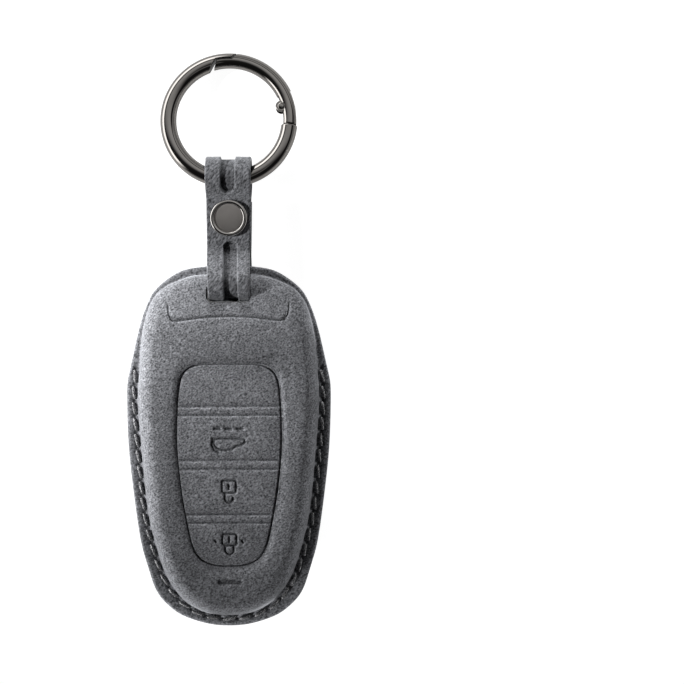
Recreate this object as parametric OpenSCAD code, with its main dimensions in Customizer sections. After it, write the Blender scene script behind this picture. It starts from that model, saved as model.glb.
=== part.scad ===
/* [Cover] */
// Width of the cover across its stitched flange
cover_w = 55; // [51:0.5:60]
// Length of the cover along its middle
cover_l = 96.6; // [92:0.2:104]
// Height of the front face over the back face
cover_t = 17; // [16:0.1:19]
// Height of the seam between the halves over the back face
seam_z = 8.2; // [7.8:0.1:9]
// Thickness of the suede skin
suede_t = 1; // [0.8:0.05:1.2]
// Thickness of the lining inside the suede
lining_t = 0.5; // [0.4:0.05:0.8]
// Width of the flange at the sides
rim_side = 3.1; // [2.6:0.1:3.6]
// Width of the flange at the mouth end
rim_top = 1.9; // [1.6:0.1:2.6]
// Width of the flange at the closed end
rim_bottom = 3.1; // [2.6:0.1:3.6]
// How far the shoulder of the moulded dome reaches in from its foot
shoulder_r = 5.5; // [4.5:0.1:6]
// Fall of the front face towards the strap end
end_drop = 2.6; // [2:0.1:3]
// Rise of the back face towards the strap end
back_drop = 2.6; // [2.4:0.1:3]
// How far the front lip stands off the seam plane at the mouth
front_gape = 1.25; // [1:0.05:1.4]
// How far the back lip stands off the seam plane at the mouth
back_gape = 3.25; // [3.1:0.05:3.4]

/* [Button panel] */
// Width of the embossed panel
panel_w = 28.4; // [26:0.2:31]
// Length of the embossed panel
panel_l = 54.6; // [51:0.2:57]
// Distance of the panel's middle below the cover's middle
panel_down = 5; // [4:0.1:6]
// Distance of the panel's middle right of the cover's middle
panel_right = 0.4; // [0:0.1:0.6]
// Width of the crease round the panel
crease_w = 0.8; // [0.6:0.05:1]
// Depth of the crease below the panel
crease_d = 0.4; // [0.3:0.05:0.45]
// Fall of the frame towards the panel
frame_sag = 0.55; // [0.3:0.05:0.6]
// Height of the first pair of grooves above the cover's middle
groove_y = 9.55; // [8:0.05:11]
// Distance from one pair of grooves to the next
groove_pitch = 14.4; // [13:0.1:15]
// Distance between the two grooves of a pair
groove_gap = 2.35; // [2:0.05:2.8]
// Width of a groove
groove_w = 0.8; // [0.6:0.05:1]
// Depth of a groove
groove_d = 0.4; // [0.3:0.05:0.45]

/* [Strap] */
// Width of the strap at the ring
strap_w_top = 12.5; // [11.5:0.1:13]
// Width of the strap at the slot
strap_w_low = 11.8; // [11:0.1:12.2]
// Thickness of the strap's suede face
face_t = 1; // [0.9:0.05:1.1]
// Thickness of the strap's lining
backing_t = 0.8; // [0.7:0.05:0.9]
// Width of the channel pressed down the strap
channel_w = 3.9; // [3:0.1:5]
// Depth of the channel
channel_d = 0.6; // [0.4:0.05:0.7]
// Distance from the snap's cap to the end of the upper channel
channel_off_up = 2.1; // [1.8:0.1:2.6]
// Distance from the snap's cap to the end of the lower channel
channel_off_low = 1.4; // [1.2:0.1:2]
// Length of the slot in the cover
slot_l = 4.4; // [4:0.1:4.8]
// Distance from the cover's end to the slot
slot_in = 4.8; // [4.4:0.1:5]
// Clearance of the strap in the slot at each edge
slot_gap = 0.35; // [0.2:0.05:0.5]
// Inner radius of the strap's eye round the ring
eye_r = 3.95; // [3.8:0.05:4.1]
// Height of the plane where the strap's two leaves meet
leaf_z = 6.6; // [6.4:0.05:6.8]

/* [Snap] */
// Distance from the cover's end to the snap
snap_out = 13.4; // [13:0.1:13.8]
// Diameter of the snap's cap
cap_d = 10; // [9:0.1:10.4]
// Height of the cap over the strap
cap_h = 1.3; // [1:0.05:1.6]
// Diameter of the flat disc inside the cap's rim
cap_disc_d = 7.7; // [6.5:0.1:8]
// Diameter of the socket's flange
socket_d = 8.6; // [8:0.1:9]
// Distance between the leaf and the tail at the snap
snap_room = 1.9; // [1.8:0.05:2]
// Diameter of the cap's shank
shank_d = 2.4; // [2:0.1:2.6]
// Diameter of the stud's head
stud_d = 3.4; // [3:0.1:3.6]
// Diameter of the rivet head under the tail
post_d = 7.6; // [7:0.1:8.2]
// Suede left beyond the snap at the strap's and the tail's end
end_margin = 0.5; // [0.3:0.05:1]

/* [Ring] */
// Inner diameter of the ring
ring_hole_d = 28.8; // [27.6:0.1:30]
// Diameter of the ring's wire
wire_d = 4.2; // [4:0.05:4.2]
// Distance from the snap to the ring's wire
ring_out = 10.6; // [10.4:0.05:11]
// Angle of the joint between the gate's heel and the ring
heel_angle = -5.4; // [-8:0.2:-4]
// Angle of the gate's pin
pin_angle = 14; // [12:0.5:16]
// Diameter of the gate's pin
pin_d = 1.2; // [1.1:0.05:1.3]
// Distance of the pin inside the middle of the wire
pin_in = 1.8; // [1.6:0.05:1.9]
// Diameter of the pin's heads
pin_head_d = 1.9; // [1.7:0.05:2]
// Diameter of the lugs round the pin
lug_d = 3; // [2.9:0.05:3.4]
// Thickness of the ring's tongue in the fork of the gate
tongue_t = 0.85; // [0.75:0.05:0.9]
// Diameter of the gate spring's wire
spring_wire = 0.34; // [0.3:0.01:0.36]
// Number of turns of the gate spring
spring_turns = 2; // [1:1:2]
// Thickness of each cheek of the gate's fork
cheek_t = 0.45; // [0.4:0.05:0.5]

/* [Hidden] */

// Points round each ring of the shells, and steps up their shoulder
ring_n = 60;
wall_steps = 5;
inner_steps = 3;
// Power of the shoulder's curve, 1 for a quarter ellipse
wall_share = 0.86;
// Overrun of every cut
over = 1;
// Gap that the glue fills between two layers
bond = 0.05;
// Rounding of the flange's edge
edge_r = 0.35;
// Reach of the fillet at the foot of the dome
foot_r = 0.45;
// Fall of the front face towards its sides
crown = 0.7;
// Rise of the panel's middle over its edge
pillow = 0.15;
// Share of the crown that the panel's edge has lost at its sides
crown_share = 0.05;
panel_sag = frame_sag + crown_share * crown;
// Share of the half length where the mouth starts and where each face turns towards the strap
mouth_share = 0.4;
turn_share = 0.56;
turn_end_share = 0.89;
top_y = cover_l / 2;
mouth_y = top_y * mouth_share;
ply = suede_t + bond + lining_t + bond / 2;

// Right halves of the outlines from top to bottom, as shares of half the width and half the length
flange_shares = [[0, 1], [0.27, 0.995], [0.476, 0.977], [0.7, 0.887], [0.797, 0.795],
    [0.876, 0.664], [0.955, 0.47], [0.985, 0.395], [1, 0.33], [0.993, 0.1],
    [0.965, -0.12], [0.876, -0.5], [0.795, -0.675], [0.71, -0.812], [0.57, -0.9],
    [0.43, -0.95], [0.2, -0.99], [0, -1]];
dome_shares = [[0, 1], [0.25, 0.997], [0.43, 0.985], [0.69, 0.928], [0.8, 0.875], [0.875, 0.806],
    [0.951, 0.64], [0.984, 0.413], [1, 0.266], [0.975, 0.063], [0.893, -0.382], [0.795, -0.605],
    [0.725, -0.723], [0.656, -0.801], [0.557, -0.876], [0.44, -0.935], [0.242, -0.985], [0, -1]];
panel_shares = [[0, 1], [0.3, 1], [0.53, 0.996], [0.75, 0.962], [0.885, 0.89], [0.945, 0.79],
    [0.99, 0.55], [1, 0.27], [0.985, 0.06], [0.907, -0.3], [0.785, -0.65], [0.695, -0.82],
    [0.567, -0.917], [0.4, -0.97], [0.2, -0.995], [0, -1]];

function whole(half) = concat(half, [for (i = [len(half) - 2:-1:1]) [-half[i][0], half[i][1]]]);
function curve(a, b, c, d, t) = b + (t / 2) * (c - a + t * (2 * a - 5 * b + 4 * c - d
    + t * (3 * (b - c) + d - a)));
function smooth(c, n) = let (m = len(c))
    [for (i = [0:m - 1], k = [0:n - 1])
        curve(c[(i + m - 1) % m], c[i], c[(i + 1) % m], c[(i + 2) % m], k / n)];
// Where a ray from the middle meets the outline, for evenly spread rays
function rays(half) = let (c = smooth(whole(half), 4), m = len(c))
    [for (i = [0:ring_n - 1]) let (a = 360 * (i + 0.5) / ring_n, d = [sin(a), cos(a)])
        d * max([for (k = [0:m - 1])
            let (p = c[k], e = c[(k + 1) % m] - p, w = cross(e, d), s = w == 0 ? -1 : -cross(p, d) / w)
            s >= 0 && s <= 1 ? cross(p, e) / cross(d, e) : 0])];
function sized(r, w, l, at) = [for (p = r) [at[0] + p[0] * w / 2, at[1] + p[1] * l / 2]];
// The outline moved inwards by a distance
function inset(r, d) = let (m = len(r))
    [for (i = [0:m - 1]) let (t = r[(i + 1) % m] - r[(i + m - 1) % m]) r[i] + d * [t[1], -t[0]] / norm(t)];
function toward(r, q, w) = [for (i = [0:len(r) - 1]) r[i] * (1 - w) + q[i] * w];
function shrink(r, at, w) = [for (p = r) at + (p - at) * w];
function ease(t) = let (u = min(max(t, 0), 1)) u * u * (3 - 2 * u);

flange_ring = sized(rays(flange_shares), cover_w, cover_l, [0, 0]);
dome_ring = sized(rays(dome_shares), cover_w - 2 * rim_side, cover_l - rim_top - rim_bottom,
    [0, (rim_bottom - rim_top) / 2]);
panel_at = [panel_right, -panel_down];
panel_ring = sized(rays(panel_shares), panel_w, panel_l, panel_at);

// A half of the cover: height over the seam, gape, end fall, crown, frame fall, panel rise
FRONT = [cover_t - seam_z, front_gape, end_drop, crown, frame_sag, pillow];
BACK = [seam_z, back_gape, back_drop, 0, 0, 0];

function foot_h(y, s) = ply + s[1] * ease((y - mouth_y) / (top_y - mouth_y));
function top_h(p, s) = s[0] - s[3] * pow(abs(p[0]) * 2 / cover_w, 3)
    - s[2] * ease((p[1] / top_y - turn_share) / (turn_end_share - turn_share));
function on_foot(r, s, h) = [for (p = r) [p[0], p[1], foot_h(p[1], s) + h]];
function on_top(r, s, h) = [for (p = r) [p[0], p[1], top_h(p, s) + h]];
function on_wall(r, s, h, w) = [for (p = r) let (f = foot_h(p[1], s))
    [p[0], p[1], f + h + (top_h(p, s) - f) * w]];

// Rings of one skin of a half at a depth q below the suede, from the flange's edge to the middle
function skin(q, s, steps, fine) = concat(
    fine ? [on_foot(flange_ring, s, -edge_r), on_foot(inset(flange_ring, edge_r), s, 0)]
        : [on_foot(flange_ring, s, -q)],
    [on_foot(inset(dome_ring, q - foot_r), s, -q)],
    [for (j = [1:steps]) let (a = 90 * j / steps)
        on_wall(inset(dome_ring, q + (shoulder_r - q) * (1 - pow(cos(a), wall_share))), s, -q,
            pow(sin(a), wall_share))],
    fine ? [on_top(toward(inset(dome_ring, shoulder_r), panel_ring, 1 / 2), s, -s[4] / 4)] : [],
    [on_top(panel_ring, s, -q - s[4])],
    fine && s[4] > 0 ? [on_top(inset(panel_ring, crease_w / 2), s, -panel_sag - crease_d),
        on_top(inset(panel_ring, crease_w), s, -panel_sag)] : [],
    [on_top(shrink(panel_ring, panel_at, 1 / 2), s, -q - s[4] + s[5])]);
function middle(q, s) = [panel_at[0], panel_at[1], top_h(panel_at, s) - q - s[4] + s[5]];
function backwards(l) = [for (i = [len(l) - 1:-1:0]) l[i]];

// Closed solid between two skins of a half. The quads of both skins are parted along the same
// diagonal, so that layers that follow each other never cut into each other
module shell(s, q0, q1, fine) {
    outer = backwards(skin(q0, s, fine ? wall_steps : inner_steps, fine));
    rings = concat(outer, skin(q1, s, inner_steps, false));
    turn = len(outer) - 1;
    m = len(rings);
    last = m * ring_n + 1;
    points = concat([middle(q0, s)], [for (r = rings) for (p = r) p], [middle(q1, s)]);
    faces = concat(
        [for (i = [0:ring_n - 1]) [0, 1 + i, 1 + (i + 1) % ring_n]],
        [for (k = [0:m - 2], i = [0:ring_n - 1])
            let (j = (i + 1) % ring_n, a = 1 + k * ring_n, b = a + ring_n)
            each k < turn ? [[a + i, b + i, a + j], [b + i, b + j, a + j]]
                : [[a + i, b + i, b + j], [a + i, b + j, a + j]]],
        [for (i = [0:ring_n - 1]) let (a = 1 + (m - 1) * ring_n) [last, a + (i + 1) % ring_n, a + i]]);
    polyhedron(points, faces);
}

// Slots for the strap, wider in the lining so that its edge stays hidden
strap_x = -0.1;
slot_top = top_y - slot_in;
slot_low = slot_top - slot_l;
slot_round = 1.4;
slot_w = strap_w_low + 2 * slot_gap;
// The back slot reaches further down, where the strap swings
back_reach = 2.6;
lining_back_off = 0.25;

module slot(low, top, wide) {
    translate([strap_x, 0, -over])
        linear_extrude(cover_t + 2 * over)
            hull()
                for (x = [-1, 1], y = [low + slot_round, top - slot_round])
                    translate([x * (wide / 2 - slot_round), y])
                        circle(slot_round, $fn = 24);
}

// V groove along a path on the front face, with its depth below each point
module v_groove(path, w, d) {
    m = len(path);
    rings = [for (i = [0:m - 1])
        let (t = path[min(i + 1, m - 1)] - path[max(i - 1, 0)], n = [-t[1], t[0], 0] / norm([t[0], t[1]]),
            p = path[i], e = n * (w / 2) * (1 + over / d))
        [p + e + [0, 0, over], p - [0, 0, d], p - e + [0, 0, over]]];
    faces = concat([[2, 1, 0]],
        [for (k = [0:m - 2], i = [0:2]) let (j = (i + 1) % 3, a = 3 * k, b = a + 3)
            each [[a + i, b + j, b + i], [a + i, a + j, b + j]]],
        [[3 * m - 3, 3 * m - 2, 3 * m - 1]]);
    polyhedron([for (r = rings) for (p = r) p], faces);
}
function on_front(p, h) = [p[0], p[1], seam_z + top_h(p, FRONT) + h];

// Pairs of grooves that part the panel into buttons
groove_pairs = 3;
groove_steps = 6;
module button_grooves() {
    intersection() {
        linear_extrude(cover_t + over)
            polygon(inset(panel_ring, crease_w / 2));
        union()
            for (k = [0:groove_pairs - 1], s = [-1, 1]) {
                y = groove_y - k * groove_pitch + s * groove_gap / 2;
                v_groove([for (i = [0:groove_steps]) let (x = panel_w * (i / groove_steps - 1 / 2))
                    on_front([panel_right + x, y], -frame_sag + pillow / 2)], groove_w, groove_d);
            }
    }
}

// Groove of the end cap, bowed upwards, with a short upturn at each end
cap_seam_half = 15.4;
cap_seam_up = 33.5;
cap_seam_bow = 1.2;
upturn_x = 1;
upturn_y = 4;
cap_seam_w = 0.8;
cap_seam_d = 0.4;
module cap_groove() {
    bow = [for (i = [-4:4]) [i * cap_seam_half / 4, cap_seam_up + cap_seam_bow * (1 - i * i / 16)]];
    v_groove([for (p = concat([[-cap_seam_half - upturn_x, cap_seam_up + upturn_y],
        [-cap_seam_half - upturn_x * 0.8, cap_seam_up + upturn_y / 3]], bow,
        [[cap_seam_half + upturn_x * 0.8, cap_seam_up + upturn_y / 3],
        [cap_seam_half + upturn_x, cap_seam_up + upturn_y]])) on_front(p, 0)], cap_seam_w, cap_seam_d);
}

module front_cover() {
    color([0.40, 0.41, 0.43])
        difference() {
            translate([0, 0, seam_z])
                shell(FRONT, 0, suede_t, true);
            slot(slot_low, slot_top, slot_w);
            button_grooves();
            cap_groove();
        }
}

module front_lining() {
    color([0.20, 0.20, 0.21])
        difference() {
            translate([0, 0, seam_z])
                shell(FRONT, suede_t + bond, suede_t + bond + lining_t, false);
            slot(slot_low - lining_back_off, slot_top + lining_back_off, slot_w + 2 * lining_back_off);
        }
}

module back_cover() {
    color([0.38, 0.39, 0.41])
        difference() {
            translate([0, 0, seam_z])
                mirror([0, 0, 1])
                    shell(BACK, 0, suede_t, true);
            slot(slot_low - back_reach, slot_top, slot_w);
        }
}

module back_lining() {
    color([0.20, 0.20, 0.21])
        difference() {
            translate([0, 0, seam_z])
                mirror([0, 0, 1])
                    shell(BACK, suede_t + bond, suede_t + bond + lining_t, false);
            slot(slot_low - back_reach - lining_back_off, slot_top + lining_back_off,
                slot_w + 2 * lining_back_off);
        }
}

// Side profile of the strap, as [y, z] points along the middle of its thickness
strap_t = face_t + backing_t;
snap_y = top_y + snap_out;
snap_x = strap_x + 0.2 * slot_gap;
ring_y = snap_y + ring_out;
// Clearance between the strap and the table, and between its two leaves
table_gap = 0.15;
leaf_gap = 0.1;
turn_r = 1.5;
slot_play = 0.7;
strap_y = slot_low + slot_play + strap_t / 2;
tail_low = table_gap + strap_t / 2;
hinge_y = strap_y + turn_r + strap_t / 2;
front_z = leaf_z + (leaf_gap + strap_t) / 2;
rear_z = leaf_z - (leaf_gap + strap_t) / 2;
tail_z = rear_z - strap_t - snap_room;
// Height of the leaf over the top bar, its flat run there, and its bend and slope down from it
bar_clear = 0.4;
over_z = cover_t - end_drop + bar_clear + strap_t / 2;
bar_run = 1.8;
over_r = 3;
leaf_slope = 42;
// Bends at the snap and at the ring
bend_r = 4;
eye_bend_r = 2;
eye_slope = 51;
eye_play_share = 0.24;
eye_y = ring_y + eye_play_share * (eye_r - wire_d / 2 - bond);
eye_mid_r = eye_r + strap_t / 2;
arc_n = 8;
eye_n = 28;

function arc(c, r, a0, a1, n) = [for (i = [0:n]) let (a = a0 + (a1 - a0) * i / n) c + r * [cos(a), sin(a)]];
// Middle of the bend where a leaf leaves the joint plane towards the eye
eye_leave = eye_bend_r * (1 - cos(eye_slope)) + (leaf_gap + strap_t) / 2;
eye_foot = eye_y - (eye_mid_r - cos(eye_slope) * eye_leave) / sin(eye_slope) - eye_bend_r * sin(eye_slope);
// Middle of the bend where the front leaf comes down to the joint plane
over_mid = [strap_y + turn_r + bar_run, over_z - over_r];
over_end = over_mid + over_r * [sin(leaf_slope), cos(leaf_slope)];
land_z = front_z + bend_r * (1 - cos(leaf_slope));
land_y = over_end[0] + (over_end[1] - land_z) / tan(leaf_slope) + bend_r * sin(leaf_slope);
rear_end = snap_y - socket_d / 2 - end_margin;
tail_end = snap_y + socket_d / 2 + end_margin;

strap_path = concat(
    [[hinge_y, tail_low]],
    arc([strap_y + turn_r, tail_low + turn_r], turn_r, 270, 180, arc_n),
    arc([strap_y + turn_r, over_z - turn_r], turn_r, 180, 90, arc_n),
    arc(over_mid, over_r, 90, 90 - leaf_slope, arc_n),
    arc([land_y, front_z + bend_r], bend_r, 270 - leaf_slope, 270, arc_n),
    arc([eye_foot, front_z + eye_bend_r], eye_bend_r, 270, 270 + eye_slope, arc_n),
    arc([eye_y, leaf_z], eye_mid_r, 90 + eye_slope, -90 - eye_slope, eye_n),
    arc([eye_foot, rear_z - eye_bend_r], eye_bend_r, 90 - eye_slope, 90, arc_n),
    [[rear_end, rear_z]]);
tail_n = 12;
tail_rise_share = 0.7;
tail_flat_share = 0.1;
tail_path = concat(
    [[tail_end, tail_z]],
    [for (i = [tail_n:-1:0]) let (y = hinge_y + (rear_end - hinge_y) * i / tail_n)
        [y, tail_low + (tail_z - tail_low) * ease((i / tail_n - tail_flat_share) / tail_rise_share)]]);

function along(p, i) = let (t = p[min(i + 1, len(p) - 1)] - p[max(i - 1, 0)]) [-t[1], t[0]] / norm(t);
function band(p, a, b) = concat([for (i = [0:len(p) - 1]) p[i] + along(p, i) * a],
    [for (i = [len(p) - 1:-1:0]) p[i] + along(p, i) * b]);
// Where the plies lie across the strap's thickness, outwards positive
face_out = strap_t / 2;
face_in = face_out - face_t + bond / 2;
backing_out = face_in - bond;
backing_in = -strap_t / 2;

module across(w) {
    translate([strap_x - w / 2, 0, 0])
        rotate([90, 0, 90])
            linear_extrude(w)
                children();
}

// The strap's width in plan, from the slot to the eye
module strap_plan() {
    translate([strap_x, 0, -over])
        linear_extrude(cover_t + 2 * over)
            polygon([[-strap_w_low / 2, slot_low - back_reach], [strap_w_low / 2, slot_low - back_reach],
                [strap_w_low / 2, slot_top], [strap_w_top / 2, ring_y + eye_mid_r + over],
                [-strap_w_top / 2, ring_y + eye_mid_r + over], [-strap_w_low / 2, slot_top]]);
}

// Room that the turning end of the tail needs in the strap's end
hinge_gap = 0.1;
module hinge_room() {
    translate([hinge_y, tail_low])
        circle(strap_t / 2 + hinge_gap, $fn = 32);
    translate([hinge_y - strap_t / 2 - hinge_gap, tail_low - over - strap_t / 2])
        square([strap_t + over, strap_t / 2 + over]);
}

module strap_ply(out, in) {
    intersection() {
        across(strap_w_top)
            difference() {
                polygon(band(strap_path, out, in));
                hinge_room();
            }
        strap_plan();
    }
}

// The tail's side profile, rounded where it turns in the strap's end
function tail_profile(out, in) = concat(
    [for (i = [0:len(tail_path) - 1]) tail_path[i] + along(tail_path, i) * out],
    arc([hinge_y, tail_low], strap_t / 2, 180 + asin(out * 2 / strap_t), 180 + asin(in * 2 / strap_t),
        arc_n),
    [for (i = [len(tail_path) - 1:-1:0]) tail_path[i] + along(tail_path, i) * in]);

module tail_ply(out, in) {
    intersection() {
        across(strap_w_top)
            polygon(tail_profile(out, in));
        strap_plan();
    }
}

module snap_hole(z0, z1) {
    translate([snap_x, snap_y, z0])
        cylinder(d = shank_d + 2 * bond, h = z1 - z0, $fn = 48);
}

// Channel pressed into the front leaf on both sides of the snap
channel_shift = 0.3;
channel_end_up = snap_y + cap_d / 2 + channel_off_up;
channel_end_low = snap_y - cap_d / 2 - channel_off_low;
module channels() {
    intersection() {
        across(strap_w_top)
            polygon(band(strap_path, face_out + over, face_out - channel_d));
        translate([0, 0, leaf_z])
            linear_extrude(cover_t)
                union() {
                    translate([strap_x - channel_shift, 0])
                        channel_plan(channel_end_up, ring_y + eye_mid_r + strap_t);
                    translate([strap_x + channel_shift, 0])
                        channel_plan(strap_y - strap_t, channel_end_low);
                }
    }
}
module channel_plan(y0, y1) {
    r = channel_w / 2;
    low = y0 > snap_y;
    translate([-r, low ? y0 + r : y0])
        square([channel_w, y1 - y0 - r]);
    translate([0, low ? y0 + r : y1 - r])
        circle(r, $fn = 32);
}

module strap() {
    color([0.42, 0.43, 0.45])
        difference() {
            strap_ply(face_out, face_in);
            channels();
            snap_hole(rear_z - strap_t, front_z + strap_t);
        }
}

module strap_lining() {
    color([0.30, 0.31, 0.32])
        difference() {
            strap_ply(backing_out, backing_in);
            snap_hole(rear_z - strap_t, front_z + strap_t);
        }
}

module strap_tail() {
    color([0.42, 0.43, 0.45])
        difference() {
            tail_ply(face_out, face_in);
            snap_hole(tail_z - strap_t, tail_z + strap_t);
        }
}

module tail_lining() {
    color([0.30, 0.31, 0.32])
        difference() {
            tail_ply(backing_out, backing_in);
            snap_hole(tail_z - strap_t, tail_z + strap_t);
        }
}

// Snap fastener, turned profiles as [radius, height]
cap_z = front_z + strap_t / 2 + bond;
socket_z = rear_z - strap_t / 2 - bond;
stud_z = tail_z + strap_t / 2 + bond;
post_z = tail_z - strap_t / 2 - bond;
plate_t = 0.35;
socket_h = 1.45;
cup_wall = 0.45;
rim_h = 0.35;
spring_d = 0.4;
post_shank_share = 0.35;

module turned(z, profile) {
    translate([snap_x, snap_y, z])
        rotate_extrude($fn = 72)
            polygon(profile);
}

module snap_cap() {
    r = cap_d / 2;
    disc = cap_disc_d / 2;
    shank = shank_d / 2;
    low = socket_z - cap_z + plate_t * 0.2;
    color([0.33, 0.32, 0.31])
        turned(cap_z, [[0, low], [shank, low], [shank, 0], [r - cap_h / 2, 0], [r, cap_h * 0.4],
            [r - cap_h * 0.1, cap_h * 0.75], [r - cap_h * 0.3, cap_h * 0.95], [r - cap_h * 0.5, cap_h],
            [disc + cap_h * 0.1, cap_h * 0.9], [disc, cap_h - rim_h], [0, cap_h - rim_h]]);
}

module snap_socket() {
    r = socket_d / 2;
    cup = stud_d / 2 + spring_d + cup_wall;
    hollow = stud_d / 2 + spring_d;
    mouth = stud_d / 2 + 3 * bond;
    color([0.45, 0.44, 0.42])
        turned(socket_z, [[shank_d / 2, 0], [r, 0], [r, -plate_t], [cup + plate_t, -plate_t],
            [cup, -socket_h], [mouth, -socket_h], [mouth, -socket_h + cup_wall / 2],
            [hollow, -socket_h + cup_wall / 2], [hollow, -plate_t], [shank_d / 2, -plate_t]]);
}

// Split wire ring in the socket that grips the stud
spring_gap_angle = 50;
module snap_spring() {
    color([0.72, 0.72, 0.70])
        translate([snap_x, snap_y, socket_z - socket_h + cup_wall / 2 + spring_d / 2 + bond])
            rotate([0, 0, spring_gap_angle / 2])
                rotate_extrude(angle = 360 - spring_gap_angle, $fn = 60)
                    translate([stud_d / 2 + spring_d / 2, 0])
                        circle(d = spring_d - bond, $fn = 20);
}

module snap_stud() {
    r = socket_d / 2 - plate_t;
    top = snap_room - plate_t - 5 * bond;
    neck = stud_d / 2 - 6 * bond;
    hole = shank_d * post_shank_share;
    color([0.45, 0.44, 0.42])
        turned(stud_z, [[hole, 0], [r, 0], [r, plate_t * 0.7], [neck, plate_t * 0.9], [neck, top * 0.55],
            [stud_d / 2 - 4 * bond, top * 0.75], [stud_d / 2 - 8 * bond, top], [hole, top]]);
}

module snap_post() {
    r = post_d / 2;
    head = post_z - table_gap / 2;
    shank = shank_d * post_shank_share;
    color([0.33, 0.32, 0.31])
        turned(post_z, [[0, -head], [r * 0.6, -head], [r * 0.9, -head * 0.6], [r, 0],
            [shank, 0], [shank, strap_t + 4 * bond], [0, strap_t + 4 * bond]]);
}

// The ring lies in its own plane, hinged at its wire in the strap's eye and tilted down to the table
ring_r = (ring_hole_d + wire_d) / 2;
wire_r = wire_d / 2;
ring_tilt = asin((leaf_z - wire_r) / (2 * ring_r));
module at_ring() {
    translate([0, ring_y, leaf_z])
        rotate([-ring_tilt, 0, 0])
            translate([0, ring_r, 0])
                children();
}
function polar(r, a) = r * [cos(a), sin(a)];

module wire(a0, a1) {
    rotate([0, 0, a0])
        rotate_extrude(angle = a1 - a0, $fn = 180)
            translate([ring_r, 0])
                circle(wire_r, $fn = 48);
}

// Stepped lap between the gate's tip and the ring, as angles along the wire
lap_out = 81.4;
lap_step = 86.8;
lap_end = 101;
lap_in = 107.4;
lap_room = 4.4;
lap_back = 20;
lap_gap = 0.7;
lap_shift = 0.21;
lap_r = ring_r + lap_shift;
lap_slack = 0.15;
lap_n = 6;
reach = 1.2;

// Plan of the gate's side of the lap, wider by g degrees and d in radius, and by e at its inner end
module lap_plan(g, d, e) {
    ro = ring_r + wire_r * reach;
    ri = ring_r - wire_r * reach;
    polygon(concat(
        [polar(ro, lap_out + g), polar(lap_r + d, lap_step + g)],
        [for (i = [1:lap_n]) polar(lap_r + d, lap_step + g + (lap_end - lap_step) * i / lap_n)],
        [polar(ri, lap_in + g + e), polar(ri, lap_end - lap_room), polar(ri, lap_step), polar(ri, lap_out),
            polar(ri, lap_out - lap_back), polar(ro, lap_out - lap_back)]));
}
module slab(h, t) {
    translate([0, 0, h])
        linear_extrude(t)
            children();
}

pin_at = polar(ring_r - pin_in, pin_angle);
// The fork holds the tongue and the spring's coil between its cheeks, with a clearance at each side
fork_gap = 0.1;
coil_pitch = spring_wire + bond;
fork_t = tongue_t + (spring_turns + 1) * coil_pitch + bond + 2 * fork_gap;
lug_half = fork_t / 2 + cheek_t;
tongue_low = -fork_t / 2 + fork_gap;
fork_end = 26;
heel_over = 3;

module ring_body() {
    color([0.30, 0.29, 0.28])
        at_ring()
            difference() {
                union() {
                    difference() {
                        wire(lap_out, 360 + heel_angle);
                        slab(-wire_d, 2 * wire_d)
                            lap_plan(lap_gap, lap_slack, lap_room);
                    }
                    slab(tongue_low, tongue_t)
                        tongue_plan();
                }
                translate([pin_at[0], pin_at[1], -wire_d])
                    cylinder(d = pin_d + 2 * bond, h = 2 * wire_d, $fn = 48);
            }
}

// Plate of the ring that carries the pin inside the fork of the gate
tongue_in = 0.25;
tongue_share = 0.8;
tongue_n = 5;
module tongue_plan() {
    ro = ring_r + wire_r * tongue_share;
    ri = ring_r - wire_r * tongue_share;
    a0 = heel_angle - heel_over;
    polygon(concat([for (i = [0:tongue_n]) polar(ro, a0 + (pin_angle - a0) * i / tongue_n)],
        [for (i = [tongue_n:-1:0]) polar(ri, a0 + (pin_angle - a0) * i / tongue_n)]));
    translate(pin_at)
        circle(d = lug_d - 2 * tongue_in, $fn = 48);
}

// Sector of the ring's plane that the gate takes up, short of its lap
module gate_sector() {
    far = 2 * ring_r;
    polygon([[0, 0], polar(far, heel_angle), polar(far, lap_out / 2), polar(far, lap_out - lap_back / 2),
        polar(ring_r / 4, lap_out - lap_back / 2)]);
}

heel_gap = 0.5;
head_t = 0.45;
head_gap = 0.12;
module ring_gate() {
    color([0.32, 0.31, 0.30])
        at_ring()
            difference() {
                union() {
                    intersection() {
                        wire(heel_angle + heel_gap, lap_in);
                        slab(-wire_d, 2 * wire_d)
                            union() {
                                lap_plan(0, 0, 0);
                                gate_sector();
                            }
                    }
                    translate([pin_at[0], pin_at[1], -lug_half])
                        cylinder(d = lug_d, h = 2 * lug_half, $fn = 48);
                }
                slab(-fork_t / 2, fork_t)
                    fork_plan();
                translate([pin_at[0], pin_at[1], -wire_d])
                    cylinder(d = pin_d + 2 * bond, h = 2 * wire_d, $fn = 48);
                // Flat seats for the pin's heads
                for (z = [lug_half, -lug_half - wire_d])
                    translate([pin_at[0], pin_at[1], z])
                        cylinder(d = pin_head_d + 2 * head_gap, h = wire_d, $fn = 64);
            }
}

// Plan of the fork's slot
fork_n = 6;
module fork_plan() {
    ro = ring_r + wire_r * reach;
    ri = ring_r - wire_d;
    a0 = heel_angle - heel_over;
    polygon(concat([for (i = [0:fork_n]) polar(ro, a0 + (fork_end - a0) * i / fork_n)],
        [for (i = [fork_n:-1:0]) polar(ri, a0 + (fork_end - a0) * i / fork_n)]));
}

module gate_pin() {
    color([0.42, 0.41, 0.40])
        at_ring()
            translate([pin_at[0], pin_at[1], 0])
                rotate_extrude($fn = 60)
                    polygon([[0, -lug_half - head_t], [pin_head_d / 2 - head_t / 2, -lug_half - head_t],
                        [pin_head_d / 2, -lug_half - head_t / 2], [pin_head_d / 2, -lug_half - bond],
                        [pin_d / 2, -lug_half - bond], [pin_d / 2, lug_half + bond],
                        [pin_head_d / 2, lug_half + bond], [pin_head_d / 2, lug_half + head_t / 2],
                        [pin_head_d / 2 - head_t / 2, lug_half + head_t], [0, lug_half + head_t]]);
}

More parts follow.
